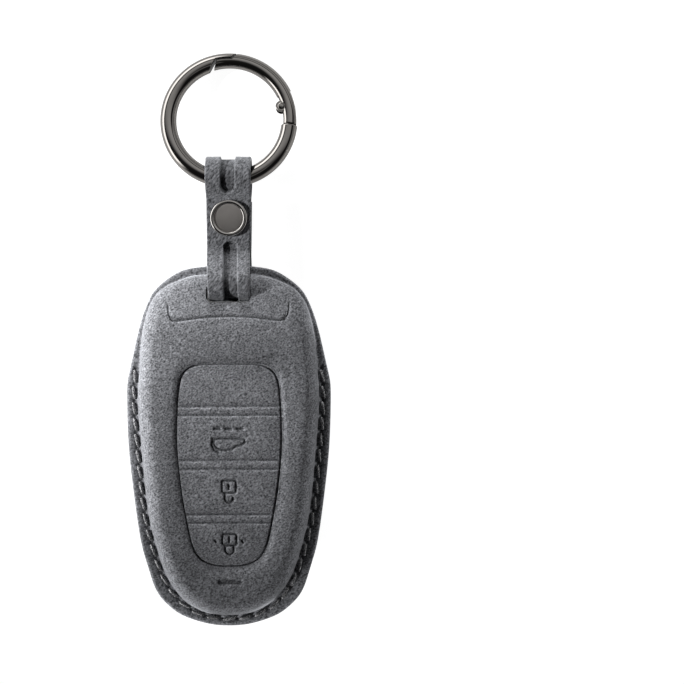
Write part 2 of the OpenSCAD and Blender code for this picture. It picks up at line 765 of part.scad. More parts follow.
// Torsion spring beside the tongue: a coil round the pin and a leg along each side of the hinge
coil_r = pin_d / 2 + spring_wire / 2 + 2 * bond;
coil_low = tongue_low + tongue_t + spring_wire / 2 + bond;
turn_n = 10;
tube_n = 6;
gate_leg_angle = 80;
ring_leg_angle = 280;
spring_start = gate_leg_angle - 90;
coil_turn = 360 * spring_turns - (ring_leg_angle - gate_leg_angle - 180);
// Each leg ends this far short of the fork's end or the ring's joint face
leg_gap = 0.2;
gate_leg = ((pin_at + polar(coil_r, spring_start)) * polar(1, fork_end - 90) - leg_gap)
    / -cos(gate_leg_angle - fork_end + 90);
ring_leg = ((pin_at + polar(coil_r, ring_leg_angle - 270)) * polar(1, heel_angle + 90) - leg_gap)
    / -cos(ring_leg_angle - heel_angle - 90);
spring_path = concat(
    [concat(polar(coil_r, spring_start) + polar(gate_leg, gate_leg_angle), [coil_low])],
    [for (i = [0:turn_n * spring_turns]) let (t = i / (turn_n * spring_turns))
        concat(polar(coil_r, spring_start - coil_turn * t), [coil_low + coil_pitch * spring_turns * t])],
    [concat(polar(coil_r, spring_start - coil_turn) + polar(ring_leg, ring_leg_angle),
        [coil_low + coil_pitch * spring_turns])]);

module tube(path, d, n) {
    m = len(path);
    rings = [for (i = [0:m - 1])
        let (t = path[min(i + 1, m - 1)] - path[max(i - 1, 0)], u = t / norm(t),
            s = cross(u, [0, 0, 1]), a = s / norm(s), b = cross(a, u))
        [for (k = [0:n - 1]) path[i] + (d / 2) * (cos(360 * k / n) * a + sin(360 * k / n) * b)]];
    faces = concat([[for (k = [n - 1:-1:0]) k]],
        [for (j = [0:m - 2], k = [0:n - 1]) let (l = (k + 1) % n, a = j * n, b = a + n)
            each [[a + k, b + l, b + k], [a + k, a + l, b + l]]],
        [[for (k = [0:n - 1]) (m - 1) * n + k]]);
    polyhedron([for (r = rings) for (p = r) p], faces);
}

module gate_spring() {
    color([0.75, 0.75, 0.73])
        at_ring()
            translate([pin_at[0], pin_at[1], 0])
                tube(spring_path, spring_wire, tube_n);
}

front_cover();
front_lining();
back_cover();
back_lining();
strap();
strap_lining();
strap_tail();
tail_lining();
snap_cap();
snap_socket();
snap_spring();
snap_stud();
snap_post();
ring_body();
ring_gate();
gate_pin();
gate_spring();
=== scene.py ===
"""Key fob cover of grey suede with its snap strap and gated ring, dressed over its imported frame."""
import bpy
import numpy as np
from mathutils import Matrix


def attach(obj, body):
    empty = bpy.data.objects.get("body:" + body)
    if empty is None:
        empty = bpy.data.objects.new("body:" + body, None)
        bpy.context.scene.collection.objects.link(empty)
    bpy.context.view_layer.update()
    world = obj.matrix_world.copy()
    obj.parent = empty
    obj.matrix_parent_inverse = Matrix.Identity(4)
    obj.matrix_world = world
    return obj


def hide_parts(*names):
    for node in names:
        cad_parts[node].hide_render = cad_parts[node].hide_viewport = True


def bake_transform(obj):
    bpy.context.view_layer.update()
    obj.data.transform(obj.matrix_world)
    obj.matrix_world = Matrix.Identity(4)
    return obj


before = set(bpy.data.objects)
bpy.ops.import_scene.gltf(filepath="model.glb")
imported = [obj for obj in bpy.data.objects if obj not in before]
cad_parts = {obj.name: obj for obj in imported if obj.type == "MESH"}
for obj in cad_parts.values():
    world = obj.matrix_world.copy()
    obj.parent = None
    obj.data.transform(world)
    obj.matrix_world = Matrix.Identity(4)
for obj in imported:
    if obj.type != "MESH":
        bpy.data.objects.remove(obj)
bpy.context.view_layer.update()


# The photographer's stand. The camera hangs half a metre over the cover, straight above a point to
# its right, with the strap's end of the cover towards the top of the picture.
lens = bpy.data.cameras.new("stand_camera")
lens.lens = 97.47
lens.sensor_width = 36
lens.clip_start = 0.01
lens.clip_end = 5
camera = bpy.data.objects.new("stand_camera", lens)
camera.location = (0.0306, 0.0281, 0.509)
camera.rotation_euler = (0, 0, -0.0035)
bpy.context.scene.collection.objects.link(camera)
bpy.context.scene.camera = camera


# The back half of the cover: one sheet of microfibre suede, pressed over a form with a flat back
# and a flange all round, with a slot for the strap. It is glued to its lining and sewn to the
# front half. Sizes here and below are in millimetres.
MM = 0.001
COVER_W, COVER_L, SEAM_Z = 55.0, 96.6, 8.2
TOP_Y, MOUTH_Y = 48.3, 19.32
SUEDE_T, GLUE_T, LINING_T = 1.0, 0.05, 0.5
PLY = SUEDE_T + GLUE_T + LINING_T + GLUE_T / 2
DOME_W, DOME_L, DOME_AT = 48.8, 91.6, (0, 0.6)
EDGE_R, FOOT_REACH, SHOULDER, WALL_POWER = 0.75, 0.45, 4.7, 0.86
PANEL_W, PANEL_L, PANEL_AT = 28.75, 54.6, np.array([0.45, -4.6])
FACE_W, FACE_L, CAP_SEAM_END = 37.8, 80.6, np.array([16.0, 35.8])
ARCH, ARCH_X, ARCH_Y, ARCH_RUN = 1.5, 20, 12, 26
SAG_REACH, SAG_SHARE = 3.4, 0.35
STRAP_X, SLOT_R = 0.03, 1.6
SUEDE_GREY = (0.149, 0.1515, 0.1615)
RAYS = 640
EDGE_N, WALL_TOP_N = 5, 10
DIRECTIONS, EVENED_OVER = 1440, np.radians(1.6)
BACK_HALF = dict(rise=8.2, gape=3.25, drop=2.6, step=(0.54, 0.35), crown=0.0, sag=0.0)

flange_half = [(0, 1.006), (0.12, 1.008), (0.27, 1.003), (0.476, 0.977), (0.7, 0.887),
    (0.797, 0.795), (0.876, 0.664), (0.955, 0.47), (0.985, 0.395), (1, 0.33), (0.993, 0.1),
    (0.965, -0.12), (0.876, -0.5), (0.795, -0.675), (0.71, -0.812), (0.57, -0.9), (0.43, -0.95),
    (0.2, -0.99), (0, -1)]
dome_half = [(0, 1), (0.25, 0.997), (0.43, 0.985), (0.69, 0.928), (0.8, 0.875), (0.875, 0.806),
    (0.951, 0.64), (0.984, 0.413), (1, 0.266), (0.975, 0.063), (0.893, -0.382), (0.795, -0.605),
    (0.725, -0.723), (0.656, -0.801), (0.557, -0.876), (0.44, -0.935), (0.242, -0.985), (0, -1)]
panel_half = [(0, 1), (0.3, 1), (0.53, 0.996), (0.75, 0.962), (0.885, 0.89), (0.945, 0.79),
    (0.99, 0.55), (1, 0.27), (0.985, 0.06), (0.907, -0.3), (0.785, -0.65), (0.695, -0.82),
    (0.567, -0.917), (0.4, -0.97), (0.2, -0.995), (0, -1)]


def ease(t):
    """Smooth step: 3 t squared less 2 t cubed, with t held between 0 and 1."""
    t = np.clip(t, 0, 1)
    return t * t * (3 - 2 * t)


def bell(off, wide):
    """Gaussian: e to the power of less the square of off over wide."""
    return np.exp(-(off / wide) ** 2)


def unit(vectors):
    """The vectors at length one."""
    return vectors / np.linalg.norm(vectors, axis=-1, keepdims=True)


def radius_of(half, angle):
    """Distance of a drawn outline from its middle, in shares, for directions counted clockwise from
    the strap's end. A closed Catmull-Rom curve runs through the drawn half and its mirror image,
    and its radius is then evened out round the loop by a Gaussian of 1.6 degrees."""
    loop = np.array(list(half) + [(-x, y) for x, y in half[-2:0:-1]], float)
    a, b, c, d = (np.roll(loop, s, 0)[:, None] for s in (1, 0, -1, -2))
    t = np.linspace(0, 1, 24, endpoint=False)[None, :, None]
    line = b + t / 2 * (c - a + t * (2 * a - 5 * b + 4 * c - d + t * (3 * (b - c) + d - a)))
    line = line.reshape(-1, 2)
    turn = np.arctan2(line[:, 0], line[:, 1]) % (2 * np.pi)
    grid = np.arange(DIRECTIONS) * 2 * np.pi / DIRECTIONS
    radius = np.interp(grid, np.sort(turn), np.hypot(*line.T)[np.argsort(turn)],
        period=2 * np.pi)
    waves = np.arange(DIRECTIONS // 2 + 1)
    smooth = np.fft.rfft(radius) * np.exp(-0.5 * (waves * EVENED_OVER) ** 2)
    return np.interp(angle, grid, np.fft.irfft(smooth, DIRECTIONS), period=2 * np.pi)


def outline(half, angle, w, l, at):
    """Points of an outline: its radius in each direction, stretched to its width and length."""
    r = radius_of(half, angle)
    return np.stack([at[0] + r * np.sin(angle) * w / 2, at[1] + r * np.cos(angle) * l / 2], -1)


def inset(ring, depth):
    """The ring moved inwards along its normals, once for each depth. A normal is square to the
    chord over three points each way, averaged over nine points."""
    chord = np.roll(ring, -3, 0) - np.roll(ring, 3, 0)
    square = unit(np.stack([chord[:, 1], -chord[:, 0]], -1))
    normal = unit(sum(np.roll(square, s, 0) for s in range(-4, 5)))
    return ring + np.atleast_1d(depth)[:, None, None] * normal


def spread_rays(half_count):
    """Directions from the strap's end round the right side to the closed end, evenly spaced along
    the panel's outline, and closer where they pass the turned-up ends of the end cap's seam."""
    fine = np.linspace(0, np.pi, 4001)
    rim = outline(panel_half, fine, PANEL_W, PANEL_L, PANEL_AT)
    away = outline(dome_half, fine, FACE_W, FACE_L, DOME_AT) - rim
    miss = np.abs(np.cross(away, CAP_SEAM_END - rim) / np.linalg.norm(away, axis=1))
    nearest = (miss + 99 * (fine > 1.2)).argmin()
    weight = 1 + 1.4 * bell(fine - fine[nearest], 0.05)
    step = np.linalg.norm(np.diff(rim, axis=0), axis=1) * (weight[1:] + weight[:-1]) / 2
    run = np.concatenate([[0], np.cumsum(step)])
    return np.interp(np.linspace(0, run[-1], half_count + 1), run, fine)


right_rays = spread_rays(RAYS // 2)
rays = np.concatenate([right_rays, 2 * np.pi - right_rays[-2:0:-1]])
flange_ring = outline(flange_half, rays, COVER_W, COVER_L, (0, 0))
dome_ring = outline(dome_half, rays, DOME_W, DOME_L, DOME_AT)
panel_ring = outline(panel_half, rays, PANEL_W, PANEL_L, PANEL_AT)
brow_ring = inset(dome_ring, SHOULDER)[0]


def foot_height(y, half):
    """Height of a flange over the seam: the layers' thickness, and the gape of the mouth, which
    grows by a smooth step from the last stitch to the strap's end."""
    return PLY + half["gape"] * ease((y - MOUTH_Y) / (TOP_Y - MOUTH_Y))


def top_height(x, y, half):
    """Height of a face over the seam: its rise, less a crown that falls with the cube of the
    distance from the middle line, less an arch that falls with its square and sets in towards the
    strap's end, less a smooth step down to that end."""
    start, run = half["step"]
    crown = half["crown"] * np.abs(2 * x / COVER_W) ** 3
    arch = ARCH * half["crown"] * (x / ARCH_X) ** 2 * ease((y - ARCH_Y) / ARCH_RUN)
    return half["rise"] - crown - arch - half["drop"] * ease((y / TOP_Y - start) / run)


def rim_rings(half, q, flange_n, wall_n, rounded):
    """Rings of a skin that lies q under the suede's outside, from the flange's edge to the brow.
    The edge is a quarter circle. The wall is inset by q + (shoulder - q)(1 - cos a to the power p)
    and rises by the share sin a to the power p, and a parabola joins it to the flange."""
    parts = []
    edge = EDGE_R if rounded else 0.0
    if rounded:
        turn = np.radians(np.linspace(0, 72, EDGE_N))
        xy = inset(flange_ring, EDGE_R * (1 - np.cos(turn)))
        drop = EDGE_R * (1 - np.sin(turn))
        parts.append(np.dstack([xy, foot_height(xy[..., 1], half) - drop[:, None]]))
    t = np.linspace(0, 1, flange_n)[:, None, None]
    xy = inset(flange_ring, edge) * (1 - t) + inset(dome_ring, q - FOOT_REACH) * t
    parts.append(np.dstack([xy, foot_height(xy[..., 1], half) - q]))
    a = np.radians(np.linspace(5, 90, wall_n))
    if rounded:
        turned = np.radians(np.linspace(5, 60, wall_n - WALL_TOP_N))
        deep = np.linspace(1 - np.cos(turned[-1]) ** WALL_POWER, 1, WALL_TOP_N + 1)[1:]
        a = np.concatenate([turned, np.arccos((1 - deep) ** (1 / WALL_POWER))])
    depth = q + (SHOULDER - q) * (1 - np.cos(a).clip(0) ** WALL_POWER)
    rise = np.sin(a) ** WALL_POWER
    t = np.linspace(0, 1, 6)[1:-1]
    foot_depth = (1 - t) ** 2 * (q - FOOT_REACH) + 2 * t * (1 - t) * q + t * t * depth[0]
    depth = np.concatenate([foot_depth, depth])
    rise = np.concatenate([t * t * rise[0], rise])
    xy = inset(dome_ring, depth)
    foot = foot_height(xy[..., 1], half)
    z = foot - q + (top_height(xy[..., 0], xy[..., 1], half) - foot) * rise[:, None]
    parts.append(np.dstack([xy, z]))
    return np.concatenate(parts)


def face_rings(half, q, share):
    """Rings from the brow to the panel's outline, at the given shares of the way, which may differ
    from ray to ray. The face sags towards the panel: a third of it with the square of the share,
    and the rest with the square of the nearness within 3.4 mm of the panel."""
    share = share[..., None] * np.ones((1, RAYS, 1))
    xy = brow_ring * (1 - share) + panel_ring * share
    to_go = (1 - share[..., 0]) * np.linalg.norm(panel_ring - brow_ring, axis=1)
    near = np.clip(1 - to_go / SAG_REACH, 0, 1)
    sag = half["sag"] * (SAG_SHARE * share[..., 0] ** 2 + (1 - SAG_SHARE) * near ** 2)
    return np.dstack([xy, top_height(xy[..., 0], xy[..., 1], half) - q - sag])


def rows_across(ring, columns):
    """Rows that cross the last ring from its left to its right, with a point at each share in
    columns."""
    half = RAYS // 2
    left, right = ring[-1:half:-1], ring[1:half]
    share = columns[1:-1, None]
    return left[:, None] * (1 - share) + right[:, None] * share


def skin_faces(rings, columns):
    """Faces of a skin seen from its outside: quads between rings, quads between the rows that cross
    the last ring, and a fan at each end of the rows."""
    k, j = np.meshgrid(np.arange(rings - 1), np.arange(RAYS), indexing="ij")
    n = (j + 1) % RAYS
    ring_quads = np.stack([k * RAYS + j, (k + 1) * RAYS + j, (k + 1) * RAYS + n, k * RAYS + n], -1)
    half, last, c = RAYS // 2, (rings - 1) * RAYS, len(columns) - 1
    rows = np.empty((half + 1, c + 1), int)
    rows[:, 0] = last + -np.arange(half + 1) % RAYS
    rows[:, -1] = last + np.arange(half + 1)
    inside = np.arange((half - 1) * (c - 1)).reshape(half - 1, c - 1)
    rows[1:-1, 1:-1] = rings * RAYS + inside
    inner = rows[1:-1]
    row_quads = np.stack([inner[:-1, :-1], inner[1:, :-1], inner[1:, 1:], inner[:-1, 1:]], -1)
    high = np.stack([np.full(c, last), rows[1, :-1], rows[1, 1:]], -1)
    low = np.stack([rows[-2, :-1], np.full(c, last + half), rows[-2, 1:]], -1)
    quads = np.concatenate([ring_quads.reshape(-1, 4), row_quads.reshape(-1, 4)])
    return quads, np.concatenate([high, low])


def on_seam(points, quads, tris, up):
    """A shape whose heights count from the seam, upwards for the front half and downwards for the
    back one, brought to its place."""
    if not up:
        points, quads, tris = points * (1, 1, -1), quads[:, ::-1], tris[:, ::-1]
    return points + (0, 0, SEAM_Z), quads, tris


def join_skins(outer, outer_rings, outer_columns, inner, inner_rings, inner_columns, up):
    """A closed sheet from an outer and an inner skin, joined along the flange's edge."""
    quads, tris = skin_faces(outer_rings, outer_columns)
    quads_in, tris_in = skin_faces(inner_rings, inner_columns)
    start = len(outer)
    j = np.arange(RAYS)
    n = (j + 1) % RAYS
    rim = np.stack([start + j, j, n, start + n], -1)
    quads = np.concatenate([quads, quads_in[:, ::-1] + start, rim])
    tris = np.concatenate([tris, tris_in[:, ::-1] + start])
    return on_seam(np.concatenate([outer, inner]), quads, tris, up)


def tube_faces(rows, columns):
    """Faces of a closed tube whose rows are loops of points: quads between rows, and a fan over
    each end, round the two points that come after the rows."""
    k, j = np.meshgrid(np.arange(rows - 1), np.arange(columns), indexing="ij")
    low, high, n = k * columns, (k + 1) * columns, (j + 1) % columns
    quads = np.stack([low + j, low + n, high + n, high + j], -1).reshape(-1, 4)
    j, n, last, ends = j[0], n[0], (rows - 1) * columns, rows * columns
    fans = [np.stack([n, j, np.full(columns, ends)], -1),
        np.stack([last + j, last + n, np.full(columns, ends + 1)], -1)]
    return quads, np.concatenate(fans)


def lay_mesh(name, points, quads, tris=(), sharp=40, **fields):
    """Object at the origin with its points given in millimetres, its faces smooth but for edges
    sharper than the given angle, and one float attribute for each named field."""
    tris = np.asarray(tris, int).reshape(-1, 3)
    quads = np.asarray(quads, int).reshape(-1, 4)
    mesh = bpy.data.meshes.new(name)
    mesh.vertices.add(len(points))
    mesh.vertices.foreach_set("co", (np.asarray(points) * MM).ravel())
    loops = np.concatenate([quads.ravel(), tris.ravel()])
    mesh.loops.add(len(loops))
    mesh.loops.foreach_set("vertex_index", loops)
    starts = np.concatenate([np.arange(len(quads)) * 4, quads.size + np.arange(len(tris)) * 3])
    mesh.polygons.add(len(starts))
    mesh.polygons.foreach_set("loop_start", starts)
    mesh.update(calc_edges=True)
    mesh.polygons.foreach_set("use_smooth", np.ones(len(starts), bool))
    for field, values in fields.items():
        attribute = mesh.attributes.new(field, "FLOAT", "POINT")
        attribute.data.foreach_set("value", np.asarray(values, float).ravel())
    mesh.set_sharp_from_angle(angle=np.radians(sharp))
    piece = bpy.data.objects.new(name, mesh)
    bpy.context.scene.collection.objects.link(piece)
    return piece


def cut_with(piece, tool, how="DIFFERENCE", sharp=40):
    """The piece cut by a tool, or joined to it, as a new mesh of the same object. The tool goes."""
    step = piece.modifiers.new("cut", "BOOLEAN")
    step.operation, step.solver, step.object = how, "MANIFOLD", tool
    graph = bpy.context.evaluated_depsgraph_get()
    mesh = bpy.data.meshes.new_from_object(piece.evaluated_get(graph),
        preserve_all_data_layers=True, depsgraph=graph)
    piece.modifiers.clear()
    piece.data = mesh
    mesh.polygons.foreach_set("use_smooth", np.ones(len(mesh.polygons), bool))
    mesh.set_sharp_from_angle(angle=np.radians(sharp))
    bpy.data.objects.remove(tool)


def slot_tool(low, top, wide, z0, z1, material, middle_x=STRAP_X):
    """Upright block with the plan of the strap's slot: a rectangle with four round corners."""
    turn = np.radians(np.arange(0, 360, 7.5) + 3.75)
    corner_y = np.where(np.sin(turn) > 0, top - SLOT_R, low + SLOT_R)
    middle = np.stack([np.sign(np.cos(turn)) * (wide / 2 - SLOT_R), corner_y], -1)
    line = middle + SLOT_R * np.stack([np.cos(turn), np.sin(turn)], -1) + (middle_x, 0)
    rims = [np.column_stack([line, np.full(len(line), z)]) for z in (z0, z1)]
    points = np.concatenate([*rims, [[*line.mean(0), z0], [*line.mean(0), z1]]])
    tool = lay_mesh("slot_tool", points, *tube_faces(2, len(line)))
    tool.data.materials.append(material)
    return tool


def feed(tree, node, feeds):
    """Each input named takes its value, or is linked to the output that feeds it."""
    for key, value in feeds.items():
        if isinstance(value, bpy.types.NodeSocket):
            tree.links.new(value, node.inputs[key])
        else:
            node.inputs[key].default_value = value


def put(tree, kind, feeds=(), out=0, **settings):
    """A new node with its settings and its inputs. The output that is asked for comes back."""
    node = tree.nodes.new("ShaderNode" + kind)
    for key, value in settings.items():
        setattr(node, key, value)
    feed(tree, node, dict(feeds))
    return node.outputs[out]


def blank_material(name):
    """A new material, its node tree, its shader, and the output that gives places on the object."""
    material = bpy.data.materials.new(name)
    material.use_nodes = True
    tree = material.node_tree
    return material, tree, tree.nodes["Principled BSDF"], put(tree, "TexCoord", out="Object")


NAP = ((2500, 1.0, 0.5), (1000, 2.0, 0.6), (110, 3.0, 0.55))
NAP_SHADES = ((0.26, 0.74, 0.2, 1.8), (0.3, 0.7, 0.8, 1.22), (0.3, 0.7, 0.9, 1.1))


def suede(name, colour, grain=1.0, press=True, comb=(0.5, 1.25)):
    """Napped microfibre. Colour: three noises of about 0.4, 1 and 9 mm, drawn out along the comb's
    direction by its stretch, lift and lower the grey as the nap lies this way and that. A float
    attribute on the mesh darkens it at 1, for nap compacted flat and for painted shade in grooves,
    creases and holes, and lightens it at -1, a painted highlight on lips and edges. Bump: the two
    finer noises."""
    material, tree, shader, place = blank_material(name)
    lie = put(tree, "Mapping", {"Vector": place, "Rotation": (0, 0, comb[0]),
        "Scale": (comb[1], 1.0, 1.0)}, vector_type="TEXTURE")
    noises = [put(tree, "TexNoise", {"Vector": lie, "Scale": scale, "Detail": detail,
        "Roughness": rough}) for scale, detail, rough in NAP]
    shades = [put(tree, "MapRange", {"Value": noise, "From Min": low, "From Max": high,
        "To Min": 1 - (1 - dark) * grain, "To Max": 1 + (light - 1) * grain})
        for noise, (low, high, dark, light) in zip(noises, NAP_SHADES)]
    if press:
        # The attribute read here holds painted shade in hollows and painted highlights on lips,
        # besides darker compacted nap.
        field = put(tree, "Attribute", out="Fac", attribute_name="pressed")
        shades.append(put(tree, "MapRange",
            {"Value": field, "From Min": -1.0, "To Min": 1.6, "To Max": 0.4}))
    factor = shades[0]
    for shade in shades[1:]:
        factor = put(tree, "Math", {0: factor, 1: shade}, operation="MULTIPLY")
    height = put(tree, "Math", {0: noises[0], 1: 0.6, 2: noises[1]}, operation="MULTIPLY_ADD")
    feed(tree, shader, {
        "Base Color": put(tree, "VectorMath", {0: colour, "Scale": factor}, operation="SCALE"),
        "Normal": put(tree, "Bump", {"Height": height, "Strength": 0.55, "Distance": 0.00016}),
        "Roughness": 0.95, "Specular IOR Level": 0.2, "Sheen Weight": 0.45,
        "Sheen Roughness": 0.45, "Sheen Tint": (0.92, 0.95, 1.0, 1.0)})
    return material


suede_skin = suede("suede_skin", SUEDE_GREY)
cut_edge = suede("suede_cut_edge", (0.06, 0.062, 0.068), grain=0.5, press=False)

few_columns = np.linspace(0, 1, 9)
few_shares = np.linspace(0, 1, 6)[1:, None]


def skin_points(rings, rows):
    """All points of a skin in order: its rings, then the rows across its middle."""
    return np.concatenate([rings.reshape(-1, 3), rows.reshape(-1, 3)])


def plain_skin(half, q):
    """A plain skin inside a half: the rim, the brow to the panel, and rows across the middle."""
    rim = rim_rings(half, q, flange_n=3, wall_n=8, rounded=False)
    rings = np.concatenate([rim, face_rings(half, q, few_shares)])
    return skin_points(rings, rows_across(rings[-1], few_columns)), len(rings)


back_rings = np.concatenate([rim_rings(BACK_HALF, 0.0, flange_n=8, wall_n=16, rounded=True),
    face_rings(BACK_HALF, 0.0, np.linspace(0, 1, 9)[1:, None])])
back_columns = np.linspace(0, 1, 33)
back_outer = skin_points(back_rings, rows_across(back_rings[-1], back_columns))
back_inner, inner_count = plain_skin(BACK_HALF, SUEDE_T)
points, quads, tris = join_skins(back_outer, len(back_rings), back_columns,
    back_inner, inner_count, few_columns, False)
back_cover = lay_mesh("back_cover_suede", points, quads, tris, sharp=50,
    pressed=np.zeros(len(points)))
back_cover.data.materials.append(suede_skin)
back_slot = slot_tool(low=36.5, top=43.5, wide=12.5, z0=-2, z1=9, material=cut_edge)
cut_with(back_cover, back_slot, sharp=50)
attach(back_cover, "cover")
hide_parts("back_cover")


# The linings: a thin dark knitted cloth, glued inside each half and trimmed flush with the flange.
# Their slots are a little wider, so that no cut edge shows under the suede.
FRONT_HALF = dict(rise=8.8, gape=1.25, drop=2.7, step=(0.62, 0.33), crown=0.7, sag=0.66)


def lining_piece(name, half, up):
    """A lining: two plain skins, its own thickness apart, one line of glue under the suede."""
    outer, count = plain_skin(half, SUEDE_T + GLUE_T)
    inner, _ = plain_skin(half, SUEDE_T + GLUE_T + LINING_T)
    sheet = join_skins(outer, count, few_columns, inner, count, few_columns, up)
    return lay_mesh(name, *sheet, sharp=50)


lining_cloth = suede("lining_cloth", (0.035, 0.035, 0.037), grain=0.6, press=False)
for name, half, up, low in (("front_lining_cloth", FRONT_HALF, True, 38.6),
        ("back_lining_cloth", BACK_HALF, False, 36.25)):
    lining = lining_piece(name, half, up)
    lining.data.materials.append(lining_cloth)
    z0, z1 = (SEAM_Z, 18) if up else (-2, SEAM_Z)
    slot = slot_tool(low, top=43.75, wide=13.0, z0=z0, z1=z1, material=lining_cloth)
    cut_with(lining, slot, sharp=50)
    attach(lining, "cover")
    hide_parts(name.removesuffix("_cloth"))


# The front half: one sheet of the same suede, hot-pressed in a tool with a sunken button panel,
# pairs of grooves between the buttons, their signs, the bowed seam of the key's end cap and a
# small bar below.
PILLOW, CELL_PILLOW, CREASE_W, CREASE_D = 0.12, 0.16, 0.9, 0.5
GROOVES = (11.0, 8.6, -3.4, -5.75, -17.8, -20.0)
GROOVE_D, GROOVE_RAMP, GROOVE_LIP, LIP_W = 0.42, 0.8, 0.3, 0.22
SIGN_W, SIGN_D = 1.0, 0.42
SEAM_D, SEAM_RAMP, SEAM_LIP, SEAM_TOP = 0.34, 0.85, 0.34, 38.9
BAR_D, BAR_EDGE_D, BAR_HALF = 0.25, 0.16, 0.35


def to_line(xy, line):
    """Distance of each point from the nearest of the straight spans of a line."""
    a, b = np.asarray(line[:-1], float), np.asarray(line[1:], float)
    p = xy.reshape(-1, 1, 2)
    along = ((p - a) * (b - a)).sum(-1) / ((b - a) ** 2).sum(-1)
    near = a + np.clip(along, 0, 1)[..., None] * (b - a)
    return np.linalg.norm(p - near, axis=-1).min(1).reshape(xy.shape[:-1])


def dent(distance, wide):
    """Round-bottomed groove: half of one plus the cosine across its width, and nothing beyond."""
    return 0.5 * (1 + np.cos(np.pi * np.clip(distance / (wide / 2), 0, 1)))


def arc_line(x, y, r, start, end, n=14):
    """Points along part of a circle, with its angles in degrees."""
    a = np.radians(np.linspace(start, end, n))
    return np.stack([x + r * np.cos(a), y + r * np.sin(a)], -1)


def round_box(x, y, w, h, r):
    """Closed line round a rectangle with round corners."""
    corners = [(x + w / 2 - r, y + h / 2 - r, 0), (x - w / 2 + r, y + h / 2 - r, 90),
        (x - w / 2 + r, y - h / 2 + r, 180), (x + w / 2 - r, y - h / 2 + r, 270)]
    line = np.concatenate([arc_line(cx, cy, r, a, a + 90, 5) for cx, cy, a in corners])
    return np.concatenate([line, line[:1]])


# The signs stand on their heads, as on a key that is read from its other end: three dashes over a
# car with its boot open, an open padlock, and a closed padlock between two marks. Each line comes
# with its share of the usual width.
car = np.array([(4.7, 2.2), (4.6, 1.3), (3.6, 0.75), (2.3, 0.5), (1.3, -0.3), (-0.5, -0.6),
    (-2.1, -0.35), (-3.3, 0.5), (-3.7, 1.4), (-3.4, 2.3), (-2.0, 2.5), (0.4, 2.45), (2.6, 2.5),
    (4.7, 2.2)])
boot = np.array([(-3.9, 2.5), (-4.1, 0.7), (-3.6, -0.5), (-2.4, -1.15)])
dashes = [np.array([(x - 0.75, 5.1), (x + 0.75, 5.1)]) for x in (-2.7, 0.3, 3.3)]
open_shackle = np.concatenate([[(-0.7, -12.2), (-0.7, -13.4)],
    arc_line(0.4, -13.5, 1.1, 180, 372)])
shut_shackle = np.concatenate([[(-0.65, -26.2), (-0.65, -27.1)],
    arc_line(0.5, -27.1, 1.15, 180, 360), [(1.65, -26.2)]])
signs = [(car, 1.0), (boot, 1.25), *((dash, 1.2) for dash in dashes),
    (round_box(0.43, -10.3, 3.74, 3.25, 0.5), 1.0), ([(0.35, -9.8), (0.35, -10.9)], 1.0),
    (open_shackle, 1.0),
    (round_box(0.52, -24.4, 3.75, 3.0, 0.5), 1.0), ([(0.45, -23.7), (0.45, -25.1)], 1.0),
    (shut_shackle, 1.0),
    ([(-3.35, -24.65), (-3.05, -24.95)], 1.1), ([(3.85, -24.7), (4.1, -25.05)], 1.1)]
cap_seam = np.array([(-15.8, 38.6), (-15.85, 37.5), (-15.65, 35.8), (-15.2, 34.5), (-14.4, 33.75),
    (-13.3, 33.75), (-10.7, 34.05), (-8, 34.4), (-4, 34.8), (0, 34.95), (4, 34.85), (8, 34.55),
    (11, 34.2), (13.4, 33.85), (14.4, 33.8), (15.3, 34.15), (16.0, 35.1), (16.4, 36.6),
    (16.45, 37.8), (16.4, 38.9)])
lower_bar = np.array([(-2.24, -35.7), (3.25, -35.7)])


def side_of_seam(xy):
    """Distance from the end cap's seam, more than nought on the cap's side."""
    over = xy[..., 1] - np.interp(xy[..., 0], cap_seam[4:15, 0], cap_seam[4:15, 1])
    inside = (np.abs(xy[..., 0] - 0.3) < 15.4) & (over > 0)
    return np.where(inside, 1, -1) * to_line(xy, cap_seam)


def frame_relief(xy):
    """Depth of everything moulded into the frame round the panel at each point, and how much darker
    it is coloured: the end cap's seam, a soft slope down from the cap to a steep lip, and the small
    bar, a sunken box whose upper edge is the deeper. The darkening is painted shade in the seam and
    the bar, partly for compacted nap, and painted shadow on the bar's upper and left edges; below
    nought it is a painted highlight along the seam's lip."""
    x, y = xy[..., 0], xy[..., 1]
    far = side_of_seam(xy)
    ends = ease((SEAM_TOP - y) / 1.2)
    seam = np.where(far > 0, ease(1 - far / SEAM_RAMP), ease(1 + far / SEAM_LIP)) * ends
    lip = bell(far + 0.42, LIP_W) * ends
    bar = ease((0.5 - (to_line(xy, lower_bar) - BAR_HALF)) / 0.4)
    edge = bar * np.maximum(bell(y + 35.15, LIP_W), bell(x + 2.3, 0.5))
    deep = SEAM_D * seam + BAR_D * bar + BAR_EDGE_D * edge
    # Painted shade in the seam and the bar, painted shadow on the bar's upper and left edges, a
    # painted highlight on the seam's lip.
    return deep, 0.9 * seam - 0.55 * lip + 0.2 * bar + 1.0 * edge


